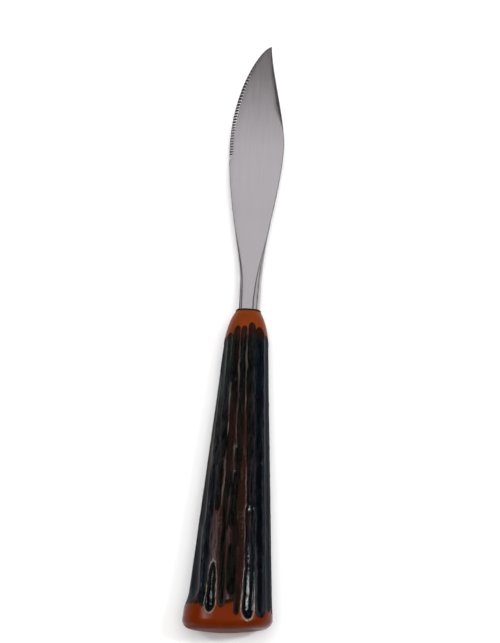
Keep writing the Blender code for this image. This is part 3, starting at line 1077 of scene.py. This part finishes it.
@dataclass
class Handle:
    """Moulded handle: an oval taper with a domed butt, gouged flutes and a socket for the tang."""

    axis: KnifeAxis
    length: float = 107.7 * MM
    nose_length: float = 15.7 * MM
    rear_station: float = 14.0 * MM
    rear_size: Tuple[float, float] = (26.2 * MM, 19.2 * MM)
    shoulder_size: Tuple[float, float] = (16.0 * MM, 12.4 * MM)
    nose_size: Tuple[float, float] = (8.7 * MM, 5.0 * MM)
    section_power: float = 2.3
    nose_power: float = 3.0
    heel_swell: float = 0.8 * MM
    heel_swell_start: float = 12.0 * MM
    heel_swell_full: float = 6.0 * MM
    butt_round: float = 2.4 * MM
    butt_dome_radius: float = 63.0 * MM
    butt_slant: float = math.radians(3.3)
    butt_fade: float = 12.0 * MM
    nose_round: float = 0.25 * MM
    socket_depth: float = 57.4 * MM
    socket_mouth: Tuple[float, float] = (6.6 * MM, 4.0 * MM)
    socket_end: Tuple[float, float] = (5.2 * MM, 4.0 * MM)
    socket_power: float = 9.0
    depth_to_width: float = 0.16
    spread: float = 1.05
    sink: float = 0.5
    round_floor: float = 1.2
    flat_floor: float = 1.4
    round_end: float = 0.9
    open_end: float = 1.9
    crisp_depths: Tuple[float, float] = (1.05, 1.3)
    rim: float = 0.16
    bank: float = 0.34
    wobble: float = 0.9 * MM
    wobble_size: float = 11.0 * MM
    ripple: float = 0.4 * MM
    lumps: float = 0.3
    full_stain: float = 0.4 * MM
    soften: int = 1
    sides: int = 288
    body_rings: int = 280
    round_rings: int = 9
    dome_rings: int = 12
    dome_start: float = 0.08

    @property
    def butt(self) -> float:
        """Y of the butt's lowest point."""
        return self.axis.nose - self.length

    def taper(self, station: float, index: int) -> float:
        """Size across the handle at a station.

        Args:
            station: Distance from the butt.
            index: 0 for the width, 1 for the thickness.

        Returns:
            The whole size, a straight taper that rounds in to the nose.
        """
        shoulder = self.length - self.nose_length
        slope = (self.shoulder_size[index] - self.rear_size[index]) / (shoulder - self.rear_station)
        straight = self.shoulder_size[index] + slope * (station - shoulder)
        rounding = max(0.0, (station - shoulder) / self.nose_length) ** self.nose_power
        end = self.shoulder_size[index] + slope * self.nose_length
        return straight - (end - self.nose_size[index]) * rounding

    def section(self, station: float, turns: np.ndarray) -> np.ndarray:
        """Points of the smooth section at a station, before any carving.

        Args:
            station: Distance from the butt.
            turns: Angles from +Z towards +X, in radians.

        Returns:
            The points as x and z.
        """
        swell = self.heel_swell * ease((self.heel_swell_start - station)
                                       / (self.heel_swell_start - self.heel_swell_full))
        half_width = self.taper(station, 0) / 2 + np.where(np.sin(turns) < 0, swell, 0.0)
        return oval(half_width, self.taper(station, 1) / 2, self.section_power, turns)

    def ring(self, station: float, flat: np.ndarray) -> np.ndarray:
        """A flat section set at a station, pushed to the slanted dome near the butt.

        Args:
            station: Distance from the butt.
            flat: The section's points as x and z.

        Returns:
            The points.
        """
        fade = 1.0 - ease(station / self.butt_fade)
        tilt = math.tan(self.butt_slant)
        bulge = (flat ** 2).sum(axis=1) / (2.0 * self.butt_dome_radius)
        lift = bulge + tilt * flat[:, 0] + tilt ** 2 * self.butt_dome_radius / 2.0
        return upright(flat, station + fade * lift)

    def rounded_end(self, rim: np.ndarray, radius: float) -> Sequence[Tuple[float, np.ndarray]]:
        """Sections of a rounded rim, from its flat face outwards.

        Args:
            rim: The outermost section.
            radius: Radius of the rounding.

        Returns:
            The sections, each with its distance from the flat face.
        """
        inner = rim * (1.0 - radius / np.linalg.norm(rim, axis=1, keepdims=True))
        swings = np.linspace(0.0, math.pi / 2, self.round_rings, endpoint=False)
        return [(radius * (1.0 - math.cos(swing)), inner + (rim - inner) * math.sin(swing))
                for swing in swings]

    def base_mesh(self) -> bpy.types.Mesh:
        """Smooth handle with its socket, before the flutes.

        Returns:
            The mesh.
        """
        turns = full_turn(self.sides)
        butt = self.rounded_end(self.section(self.butt_round, turns), self.butt_round)
        dome_scales = np.linspace(self.dome_start, 1.0, self.dome_rings, endpoint=False)
        dome = [(0.0, butt[0][1] * scale) for scale in dome_scales]
        body_end = self.length - self.nose_round
        body = [(station, self.section(station, turns))
                for station in np.linspace(self.butt_round, body_end, self.body_rings)]
        nose = self.rounded_end(self.section(body_end, turns), self.nose_round)
        nose = [(self.length - away, flat) for away, flat in reversed(nose)]
        mouth, end = (oval(size[0] / 2, size[1] / 2, self.socket_power, turns)
                      for size in (self.socket_mouth, self.socket_end))
        socket = [(self.length, mouth), (self.length - self.socket_depth, end)]
        rings = [self.ring(station, flat) for station, flat in [*dome, *butt, *body, *nose, *socket]]
        mesh = skin("handle_base", [self.axis.place(self.butt, ring) for ring in rings])
        mesh.shade_smooth()
        return mesh

    def stroke_end(self, turn: float, station: float) -> np.ndarray:
        """Point on the smooth handle at one end of a flute.

        Args:
            turn: Degrees from the middle of the front towards the spine.
            station: Millimetres from the butt.

        Returns:
            The point.
        """
        flat = self.section(station * MM, np.radians([turn]))
        return self.axis.place(self.butt, upright(flat, station * MM))[0]

    def stroke_table(self) -> bpy.types.Object:
        """Vertices with values that describe the flutes, for the carving tree.

        Returns:
            An object with one vertex for each flute.
        """
        front = FACE_FLUTES + SIDE_FLUTES
        back = tuple((row[0] + 180, row[1], row[2] + 180, *row[3:]) for row in front)
        rows = np.array(front + back)
        near, far = (np.array([self.stroke_end(*row[first:first + 2]) for row in rows]) for first in (0, 2))
        depth = rows[:, 6]
        low, high = self.crisp_depths
        mesh = bpy.data.meshes.new("flute_strokes")
        mesh.from_pydata(near.tolist(), [], [])
        values = {"far_end": far, "near_width": rows[:, 4] * MM, "far_width": rows[:, 5] * MM, "depth": depth,
                  "crisp": np.clip((depth - low) / (high - low), 0, 1)}
        for name, column in values.items():
            add_values(mesh, name, column)
        return link("flute_strokes", mesh)

    def build(self, material: bpy.types.Material) -> bpy.types.Object:
        """Carve the handle, dress it and let it stand for its solid.

        Args:
            material: The resin.

        Returns:
            The finished handle.
        """
        strokes = self.stroke_table()
        piece = apply_tree("fluted_handle", self.base_mesh(), carving_tree(), {
            "Strokes": strokes, "Depth To Width": self.depth_to_width, "Spread": self.spread,
            "Sink": self.sink, "Round Floor": self.round_floor, "Flat Floor": self.flat_floor,
            "Round End": self.round_end, "Open End": self.open_end, "Rim": self.rim, "Bank": self.bank,
            "Wobble": self.wobble, "Wobble Size": self.wobble_size, "Ripple": self.ripple,
            "Lumps": self.lumps, "Soften": self.soften, "Full Stain": self.full_stain, "Material": material})
        bpy.data.objects.remove(strokes)
        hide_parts("handle")
        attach(piece, "root")
        return piece


# How fast a tooth groove leans out at its far end, and the share of the edge's land that it may take
GROOVE_LEAN = 3.0
LAND_SHARE = 0.8


def groove_tree() -> bpy.types.NodeTree:
    """Geometry tree that grinds a row of tooth grooves into one face of a ground edge.

    Returns:
        The tree. It reads the blade's vertex values edge_travel, edge_inset, edge_side and groove_reach, and
        leaves the value groove.
    """
    inputs = {"Geometry": "NodeSocketGeometry",
              **numbers("Pitch", "Pitch Growth", "Depth", "Lead", "Trail", "Travel", "Run In", "Run Out",
                        "Bevel Slope", "Land"),
              "Material": "NodeSocketMaterial"}
    sketch, given, result = open_group("tooth_grooves", "GeometryNodeTree", inputs,
                                       {"Geometry": "NodeSocketGeometry"})
    take = {label: sketch.out(given, label) for label in inputs}
    travel, inset, side, reach = (sketch.attribute(name) for name in (
        "edge_travel", "edge_inset", "edge_side", "groove_reach"))
    count = travel / take["Pitch"] * (1.0 - travel * take["Pitch Growth"])
    swing = sketch.math("FRACT", count) - take["Lead"]
    rise = sketch.math("MAXIMUM", swing / take["Trail"], 0.0 - swing / take["Lead"])
    start = sketch.step(travel, 0.0, take["Run In"])
    stop = sketch.step(travel, take["Travel"], take["Travel"] - take["Run Out"])
    depth = take["Depth"] * start * stop
    bite = sketch.clamp(1.0 - rise) * depth
    spare = sketch.math("MAXIMUM", bite - take["Land"], 0.0)
    back = sketch.math("MAXIMUM", spare / (take["Bevel Slope"] * 2.0) - inset, 0.0)
    there = inset + back
    lean = sketch.clamp((1.0 - there / reach) * GROOVE_LEAN)
    cut = sketch.clamp(lean - rise) * depth
    upper = sketch.math("GREATER_THAN", side, 0.0)
    room = there * take["Bevel Slope"] * 2.0 + take["Land"] * LAND_SHARE
    drop = sketch.math("MINIMUM", cut, room) * upper
    shift = sketch.vector_of(back, 0.0, back * take["Bevel Slope"] * side - drop)
    marked = sketch.store(take["Geometry"], "groove", drop / take["Depth"])
    sketch.dress(marked, shift, take["Material"], result)
    return sketch.tree


@dataclass
class Blade:
    """Leaf-shaped blade with its neck and tang, one piece of steel."""

    axis: KnifeAxis
    length: float = 108.0 * MM
    stock: float = 1.6 * MM
    edge_reach: float = 10.75 * MM
    spine_reach: float = 9.35 * MM
    belly_to_tip: float = 42.0 * MM
    neck_length: float = 11.5 * MM
    neck_size: Tuple[float, float] = (8.0 * MM, 4.3 * MM)
    neck_taper_length: float = 36.0 * MM
    neck_taper_power: float = 1.5
    neck_side: Tuple[float, float] = (1.13 * MM, 1.17 * MM)
    neck_side_length: float = 36.0 * MM
    neck_step: Tuple[float, float] = (0.24 * MM, 0.15 * MM)
    neck_facet: Tuple[float, float] = (1.25 * MM, 0.12 * MM)
    neck_facet_length: float = 30.0 * MM
    plain_chamfer: float = 0.2 * MM
    plain_facet: Tuple[float, float] = (0.06 * MM, 0.01 * MM)
    swedge: Tuple[float, float] = (1.1 * MM, 0.2 * MM)
    swedge_lead: Tuple[float, float] = (1.0 * MM, 0.06 * MM)
    swedge_start: float = 70.0 * MM
    swedge_full: float = 84.0 * MM
    swedge_tip: float = 0.15
    tip_rise: float = 2.1 * MM
    tip_width: float = 0.55 * MM
    tip_thickness: float = 0.5 * MM
    tip_taper_length: float = 42.0 * MM
    tip_taper_power: float = 1.4
    edge_swell_power: float = 0.8
    edge_point_powers: Tuple[float, float] = (1.9, 0.72)
    spine_point_powers: Tuple[float, float] = (1.45, 1.45)
    edge_to_tip: float = 52.0 * MM
    edge_run_in: float = 6.0 * MM
    edge_bevel: float = 1.6 * MM
    tip_bevel: float = 0.6 * MM
    tip_bevel_length: float = 26.0 * MM
    edge_land: float = 0.14 * MM
    teeth_start_to_tip: float = 48.5 * MM
    teeth_end_to_tip: float = 6.0 * MM
    tooth_pitch: float = 1.05 * MM
    pitch_growth: float = 4.3
    tooth_depth: float = 0.19 * MM
    groove_overrun: float = 0.02 * MM
    groove_lead: float = 0.24
    groove_trail: float = 0.5
    groove_run_in: float = 1.2 * MM
    groove_run_out: float = 16.0 * MM
    tang_length: float = 56.0 * MM
    tang_size: Tuple[float, float] = (4.4 * MM, 1.8 * MM)
    tang_end_width: float = 3.0 * MM
    tang_chamfer: float = 0.1 * MM
    corner_round: float = 0.1 * MM
    neck_round: float = 0.9 * MM
    corner_steps: Tuple[float, ...] = (0.0, 0.33, 0.67, 1.0)
    round_limit: float = 0.45
    land_limit: float = 0.85
    bevel_points: int = 9
    cheek_points: int = 4
    steps_per_tooth: int = 16
    plain_step: float = 1.0 * MM
    fine_step: float = 0.2 * MM
    point_start: float = 0.96
    point_rings: int = 40
    point_power: float = 1.3
    bevel_limit: float = 1 / 3
    smooth_angle: float = math.radians(24)

    @property
    def shoulder(self) -> float:
        """Y of the shoulder that meets the nose of the handle."""
        return self.axis.tip - self.length

    @property
    def belly(self) -> float:
        """Station of the widest part."""
        return self.length - self.belly_to_tip

    def swell_share(self, station: np.ndarray) -> np.ndarray:
        """How far a station lies on the way from the neck to the widest part, 0 to 1."""
        return np.clip((station - self.neck_length) / (self.belly - self.neck_length), 0, 1)

    def point_share(self, station: np.ndarray, powers: Tuple[float, float]) -> np.ndarray:
        """How far an outline has drawn in from the widest part to the tip.

        Args:
            station: Distance from the shoulder.
            powers: Powers of its curve, at the widest part and at the tip.

        Returns:
            The share, 0 to 1.
        """
        run = np.clip((station - self.belly) / self.belly_to_tip, 0, 1)
        return 1.0 - (1.0 - run ** powers[0]) ** powers[1]

    def edge_line(self, station: np.ndarray) -> np.ndarray:
        """Outline on the edge's side.

        Args:
            station: Distance from the shoulder.

        Returns:
            Distance of the cutting edge from the axis, towards -X.
        """
        neck = self.neck_size[0] / 2
        swell = ease(self.swell_share(station) ** self.edge_swell_power)
        drop = self.point_share(station, self.edge_point_powers)
        return neck + (self.edge_reach - neck) * swell - (self.edge_reach + self.tip_rise) * drop

    def spine_line(self, station: np.ndarray) -> np.ndarray:
        """Outline on the spine's side.

        Args:
            station: Distance from the shoulder.

        Returns:
            Distance of the spine from the axis, towards +X.
        """
        neck = self.neck_size[0] / 2
        swell = ease(self.swell_share(station))
        drop = self.point_share(station, self.spine_point_powers)
        fall = self.spine_reach - self.tip_rise - self.tip_width
        return neck + (self.spine_reach - neck) * swell - fall * drop

    def half_thickness(self, station: float) -> float:
        """Half the thickness of the cheeks.

        Args:
            station: Distance from the shoulder.

        Returns:
            Half the thickness, which falls from the neck to the blade and again to the tip.
        """
        neck_share = (1.0 - np.clip(station / self.neck_taper_length, 0, 1)) ** self.neck_taper_power
        tip_run = np.clip((station - self.length + self.tip_taper_length) / self.tip_taper_length, 0, 1)
        tip_share = tip_run ** self.tip_taper_power
        thickness = self.stock + (self.neck_size[1] - self.stock) * neck_share
        return (thickness - (self.stock - self.tip_thickness) * tip_share) / 2

    def neck_share(self, station: float, length: float) -> float:
        """How much of the neck's shape is left at a station, when it fades out over a length."""
        return 1.0 - ease(station / length)

    def side_facet(self, station: float) -> np.ndarray:
        """Width and drop of the steep side of the neck, which fades to a plain chamfer along the blade."""
        share = self.neck_share(station, self.neck_side_length)
        return self.plain_chamfer + (np.array(self.neck_side) - self.plain_chamfer) * share

    def spine_facet(self, station: float) -> np.ndarray:
        """Width and drop of the spine's facet: one at the neck, and the ground swedge near the tip."""
        neck = np.array(self.neck_facet) * self.neck_share(station, self.neck_facet_length)
        return self.plain_facet + neck + np.array(self.swedge) * self.swedge_share(station)

    def facet_step(self, station: float) -> np.ndarray:
        """Width and drop of the slope from cheek to spine facet: a step at the neck, then a lead."""
        neck = np.array(self.neck_step) * self.neck_share(station, self.neck_facet_length)
        return self.plain_facet + neck + np.array(self.swedge_lead) * self.swedge_share(station)

    def swedge_share(self, station: float) -> float:
        """How much of the swedge's full size is ground at a station.

        Args:
            station: Distance from the shoulder.

        Returns:
            The share, which falls again towards the tip.
        """
        ground = ease((station - self.swedge_start) / (self.swedge_full - self.swedge_start))
        run = np.clip((station - self.swedge_full) / (self.length - self.swedge_full), 0, 1)
        return ground * (1.0 - (1.0 - self.swedge_tip) * run)

    def bevel_width(self, station: Union[float, np.ndarray]) -> Union[float, np.ndarray]:
        """Width of the ground edge, which narrows to the tip."""
        run = ease((station - self.length + self.tip_bevel_length) / self.tip_bevel_length)
        return self.edge_bevel - (self.edge_bevel - self.tip_bevel) * run

    def edge_facet(self, station: float) -> np.ndarray:
        """The facet along the edge: the side of the neck, then the ground edge.

        Args:
            station: Distance from the shoulder.

        Returns:
            Its width and drop.
        """
        side = self.side_facet(station)
        ground = ease((station - self.length + self.edge_to_tip) / self.edge_run_in)
        full = np.array((self.bevel_width(station), self.half_thickness(station) - self.edge_land / 2))
        return side + (full - side) * ground

    def section(self, sides: Tuple[float, float], half: float, edge: Sequence[float],
                spine: Sequence[Sequence[float]], edge_round: float) -> np.ndarray:
        """Points of one section as x and z, from the edge over the upper cheek to the spine and back below.

        Args:
            sides: x of the edge and of the spine.
            half: Half the thickness.
            edge: Width and drop of the slope at the edge.
            spine: Width and drop of each slope towards the spine, from the cheek outwards.
            edge_round: Roundness of the corner between the edge's slope and the cheek.

        Returns:
            The points, with each corner rounded.
        """
        limit = (sides[1] - sides[0]) * self.bevel_limit
        slopes = np.array(spine)
        slopes *= min(1.0, limit / slopes[:, 0].sum(), half * self.land_limit / slopes[:, 1].sum())
        steps = np.cumsum(slopes, axis=0)
        start = (sides[1] - steps[-1, 0], half)
        corners = np.array(((sides[0], half - min(edge[1], half - self.edge_land / 2)),
                            (sides[0] + min(edge[0], limit), half), start,
                            *((start[0] + across, half - down) for across, down in steps), (sides[1], 0.0)))
        upper = [corners[0]]
        rounds = (edge_round, *[self.corner_round] * len(slopes))
        fills = (self.bevel_points, self.cheek_points, *[1] * (len(slopes) - 1))
        for before, corner, after, bend, fill in zip(corners, corners[1:], corners[2:], rounds, fills):
            ways = [end - corner for end in (before, after)]
            lengths = [np.linalg.norm(way) for way in ways]
            bend = min(bend, *(length * self.round_limit for length in lengths))
            first, last = (corner + way / length * bend for way, length in zip(ways, lengths))
            shares = np.arange(1, fill + 1)[:, None] / (fill + 1)
            curve = [first * (1 - t) ** 2 + corner * 2 * t * (1 - t) + last * t ** 2
                     for t in self.corner_steps]
            upper += [*(upper[-1] + (first - upper[-1]) * shares), *curve]
        upper = np.array([*upper, corners[-2]])
        return np.concatenate((upper, upper[::-1] * (1.0, -1.0)))

    def stations(self) -> np.ndarray:
        """Where the sections of the blade stand.

        Returns:
            Stations from the shoulder to the tip, close together along the teeth.
        """
        start = self.length - self.teeth_start_to_tip
        ground = self.length - self.edge_to_tip
        plain = np.arange(0.0, ground, self.plain_step)
        run_in = np.arange(ground, start, self.fine_step)
        teeth = np.arange(start, self.length - self.teeth_end_to_tip, self.tooth_pitch / self.steps_per_tooth)
        left = self.length - teeth[-1]
        point = left * np.linspace(self.point_start, 0.0, self.point_rings) ** self.point_power
        return np.concatenate((plain, run_in, teeth, self.length - point))

    def blade_section(self, station: float) -> np.ndarray:
        """Section of the blade or its neck.

        Args:
            station: Distance from the shoulder.

        Returns:
            The points as x and z.
        """
        sides = (-self.edge_line(station), self.spine_line(station))
        slopes = (self.facet_step(station), self.spine_facet(station), self.side_facet(station))
        bend = (self.neck_round - self.corner_round) * self.neck_share(station, self.neck_side_length)
        return self.section(sides, self.half_thickness(station), self.edge_facet(station), slopes,
                            self.corner_round + bend)

    def tang_section(self, width: float) -> np.ndarray:
        """Section of the tang at a width, as x and z."""
        chamfer = (self.tang_chamfer, self.tang_chamfer)
        return self.section((-width / 2, width / 2), self.tang_size[1] / 2, chamfer, [chamfer] * 3,
                            self.corner_round)

    def base_mesh(self) -> bpy.types.Mesh:
        """Blade without its tooth grooves.

        Returns:
            The mesh, with the values that the groove tree reads.
        """
        stations = self.stations()
        places = np.array([-self.tang_length, 0.0, *stations])
        flats = [self.tang_section(width) for width in (self.tang_end_width, self.tang_size[0])]
        flats += [self.blade_section(station) for station in stations]
        rings = [self.axis.place(self.shoulder, upright(flat, place)) for flat, place in zip(flats, places)]
        mesh = skin("blade_base", rings)
        self.add_edge_values(mesh, places, np.array(flats))
        mesh.shade_smooth()
        return mesh

    def add_edge_values(self, mesh: bpy.types.Mesh, places: np.ndarray, flats: np.ndarray) -> None:
        """Store how far each vertex lies along the edge, in from it, and on which face.

        Args:
            mesh: The blade.
            places: Station of each ring, the tang's two first.
            flats: Sections of the rings.
        """
        start = self.length - self.teeth_start_to_tip
        steps = np.hypot(np.diff(places), np.diff(self.edge_line(places)))
        travel = np.concatenate(([0.0], np.cumsum(steps)))
        travel -= np.interp(start, places[2:], travel[2:])
        count = flats.shape[1]
        poles = np.zeros(2)
        add_values(mesh, "edge_travel", np.concatenate((np.repeat(travel, count), poles)))
        inset = flats[:, :, 0] - flats[:, :1, 0]
        add_values(mesh, "edge_inset", np.concatenate((inset.ravel(), poles + 1.0)))
        side = np.where(np.arange(count) < count // 2, 1.0, -1.0)
        add_values(mesh, "edge_side", np.concatenate((np.tile(side, len(places)), poles)))
        reach = np.array([self.edge_facet(place)[0] for place in places]) + self.groove_overrun
        add_values(mesh, "groove_reach", np.concatenate((np.repeat(reach, count), poles + 1.0)))

    def build(self, material: bpy.types.Material) -> bpy.types.Object:
        """Grind the teeth, dress the blade and let it stand for its solid.

        Args:
            material: The steel.

        Returns:
            The finished blade.
        """
        travel = self.teeth_start_to_tip - self.teeth_end_to_tip + self.tip_rise + self.edge_reach
        slope = (self.stock - self.edge_land) / 2 / self.edge_bevel
        piece = apply_tree("ground_blade", self.base_mesh(), groove_tree(), {
            "Pitch": self.tooth_pitch, "Pitch Growth": self.pitch_growth, "Depth": self.tooth_depth,
            "Lead": self.groove_lead, "Trail": self.groove_trail, "Travel": travel,
            "Run In": self.groove_run_in, "Run Out": self.groove_run_out, "Bevel Slope": slope,
            "Land": self.edge_land, "Material": material})
        piece.data.set_sharp_from_angle(angle=self.smooth_angle)
        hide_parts("blade")
        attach(piece, "root")
        return piece


@dataclass
class Seam:
    """Cement that sets the tang: the cup in the socket and the bead that shows between handle and neck."""

    axis: KnifeAxis
    bead_size: Tuple[float, float] = (7.9 * MM, 4.2 * MM)
    bead_radius: float = 0.42 * MM
    bead_shift: float = 0.12 * MM
    bead_power: float = 2.6
    sides: int = 96
    turns_round: int = 12

    def build(self, material: bpy.types.Material, shoulder: float) -> bpy.types.Object:
        """Dress the cup and lay the bead.

        Args:
            material: The cement.
            shoulder: Y of the blade's shoulder.

        Returns:
            The bead.
        """
        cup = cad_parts["tang_cement"]
        cup.data.materials.clear()
        cup.data.materials.append(material)
        turns = full_turn(self.sides)
        rings = []
        for swing in full_turn(self.turns_round):
            grow = self.bead_radius * math.cos(swing)
            half_width, half_thickness = (size / 2 + grow for size in self.bead_size)
            flat = oval(half_width, half_thickness, self.bead_power, turns)
            rings.append(upright(flat, self.bead_radius * math.sin(swing)))
        middle = (self.axis.nose + shoulder) / 2 + self.bead_shift
        points = self.axis.place(middle, np.concatenate(rings))
        mesh = bpy.data.meshes.new("seam_bead")
        mesh.from_pydata(points.tolist(), [], bands(self.turns_round, self.sides, closed=True))
        mesh.shade_smooth()
        mesh.materials.append(material)
        bead = link("seam_bead", mesh)
        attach(bead, "root")
        return bead


def stand(name: str, data: bpy.types.ID, place: Sequence[float], aim: Sequence[float]) -> bpy.types.Object:
    """Put a camera or a lamp in the scene and turn it to a point.

    Args:
        name: The object's name.
        data: The camera or the lamp.
        place: Where it stands.
        aim: The point.

    Returns:
        The object.
    """
    made = link(name, data)
    made.location = place
    made.rotation_mode = "QUATERNION"
    made.rotation_quaternion = (Vector(aim) - made.location).to_track_quat("-Z", "Y")
    return made


@dataclass(frozen=True)
class SoftBox:
    """One rectangular lamp: its place, aim, size and brightness, and whether gloss shows it."""

    name: str
    place: Tuple[float, float, float]
    aim: Tuple[float, float, float]
    size: Tuple[float, float]
    radiance: float
    colour: Colour
    mirrored: bool = True

    def hang(self) -> None:
        """Add the lamp to the scene."""
        lamp = bpy.data.lights.new(self.name, "AREA")
        lamp.shape = "RECTANGLE"
        lamp.size, lamp.size_y = self.size
        lamp.color = self.colour
        lamp.energy = self.radiance * math.pi * self.size[0] * self.size[1]
        stand(self.name, lamp, self.place, self.aim).visible_glossy = self.mirrored


@dataclass
class Studio:
    """Camera, lamps, surroundings and the pale floor that the knife lies on."""

    camera_place: Tuple[float, float, float] = (8.848 * MM, -133.347 * MM, 367.189 * MM)
    camera_aim: Tuple[float, float, float] = (1.186 * MM, -3.606 * MM, 10.106 * MM)
    lens: float = 61.36
    sensor: float = 36.0
    clip_start: float = 0.01
    floor_size: float = 6.0
    floor_colour: Colour = (0.93, 0.93, 0.935)
    floor_roughness: float = 0.9
    floor_specular: float = 0.1
    rest_span: float = 5.0 * MM
    ceiling_colour: Colour = (0.06, 0.054, 0.050)
    wall_colour: Colour = (0.42, 0.42, 0.43)
    wall_heights: Tuple[float, float] = (0.03, 0.2)
    lamps: Tuple[SoftBox, ...] = (
        SoftBox("front_panel", (0.0, 0.494, 0.86), (0.0, 0.494, 0.0), (0.5, 0.296), 0.635,
                (0.985, 0.977, 1.0)),
        SoftBox("edge_panel", (-0.64, 0.60, 0.485), (0.0, 0.07, 0.01), (0.34, 0.26), 1.3,
                (1.0, 0.99, 1.0)),
        SoftBox("left_box", (-0.40, 0.022, 0.56), (0.0, -0.09, 0.0), (0.05, 0.15), 32.0,
                (0.95, 0.98, 1.0)),
        SoftBox("right_box", (0.38, 0.008, 0.60), (0.0, -0.107, 0.0), (0.06, 0.17), 60.0,
                (0.95, 0.98, 1.0)),
        SoftBox("fill_panel", (0.0, 0.0, 1.4), (0.0, 0.0, 0.0), (1.1, 1.1), 4.9,
                (1.0, 0.99, 0.98), False),
    )

    def set_camera(self) -> None:
        """Stand the camera where the photograph was taken from."""
        data = bpy.data.cameras.new("camera")
        data.lens = self.lens
        data.sensor_width = self.sensor
        data.clip_start = self.clip_start
        bpy.context.scene.camera = stand("camera", data, self.camera_place, self.camera_aim)

    def set_world(self) -> None:
        """Surroundings: a dark ceiling over pale walls."""
        world = bpy.data.worlds.new("surroundings")
        world.use_nodes = True
        sketch = NodeSketch(world.node_tree)
        height = sketch.part(sketch.out(sketch.node("ShaderNodeTexCoord"), "Generated"), "Z")
        colour = sketch.tint(sketch.step(height, *self.wall_heights), self.wall_colour, self.ceiling_colour)
        sketch.wire(colour, world.node_tree.nodes["Background"].inputs["Color"])
        bpy.context.scene.world = world

    def floor_material(self) -> bpy.types.Material:
        """Plain white floor, which keeps the knife's shadow.

        Returns:
            The material.
        """
        shader, material = open_material("pale_floor")[1:]
        shader.inputs["Base Color"].default_value = (*self.floor_colour, 1.0)
        shader.inputs["Roughness"].default_value = self.floor_roughness
        shader.inputs["Specular IOR Level"].default_value = self.floor_specular
        return material

    def lay_floor(self, pieces: Sequence[bpy.types.Object]) -> None:
        """Lay the floor so that the knife rests on it at the butt and further along.

        Args:
            pieces: The pieces that may touch the floor.
        """
        points = np.concatenate([np.array([vertex.co for vertex in piece.data.vertices]) for piece in pieces])
        lowest = points[points[:, 2].argmin()]
        ahead = points[points[:, 1] > lowest[1] + self.rest_span]
        slope = ((ahead[:, 2] - lowest[2]) / (ahead[:, 1] - lowest[1])).min()
        half = self.floor_size / 2
        corners = [(x, y, lowest[2] + slope * (y - lowest[1]))
                   for x, y in ((-half, -half), (half, -half), (half, half), (-half, half))]
        mesh = bpy.data.meshes.new("floor")
        mesh.from_pydata(corners, [], [(0, 1, 2, 3)])
        mesh.materials.append(self.floor_material())
        link("floor", mesh)

    def build(self, pieces: Sequence[bpy.types.Object]) -> None:
        """Set up the whole studio round the pieces."""
        bpy.context.scene.view_settings.view_transform = "Standard"
        self.set_camera()
        self.set_world()
        self.lay_floor(pieces)
        for lamp in self.lamps:
            lamp.hang()


def main() -> None:
    """Build the knife and the studio."""
    logging.basicConfig(level=logging.INFO, format="%(name)s: %(message)s")
    axis = KnifeAxis.of_frame()
    grains = GrainLibrary()
    handle = Handle(axis)
    blade = Blade(axis)
    pieces = [handle.build(StainedResin().material(grains, axis.x, handle.butt)),
              blade.build(SatinSteel().material(grains)),
              Seam(axis).build(SetCement().material(grains), blade.shoulder)]
    for piece in pieces:
        LOG.info("%s: %d faces", piece.name, len(piece.data.polygons))
    Studio().build(pieces[:2])


if __name__ == "__main__":
    main()
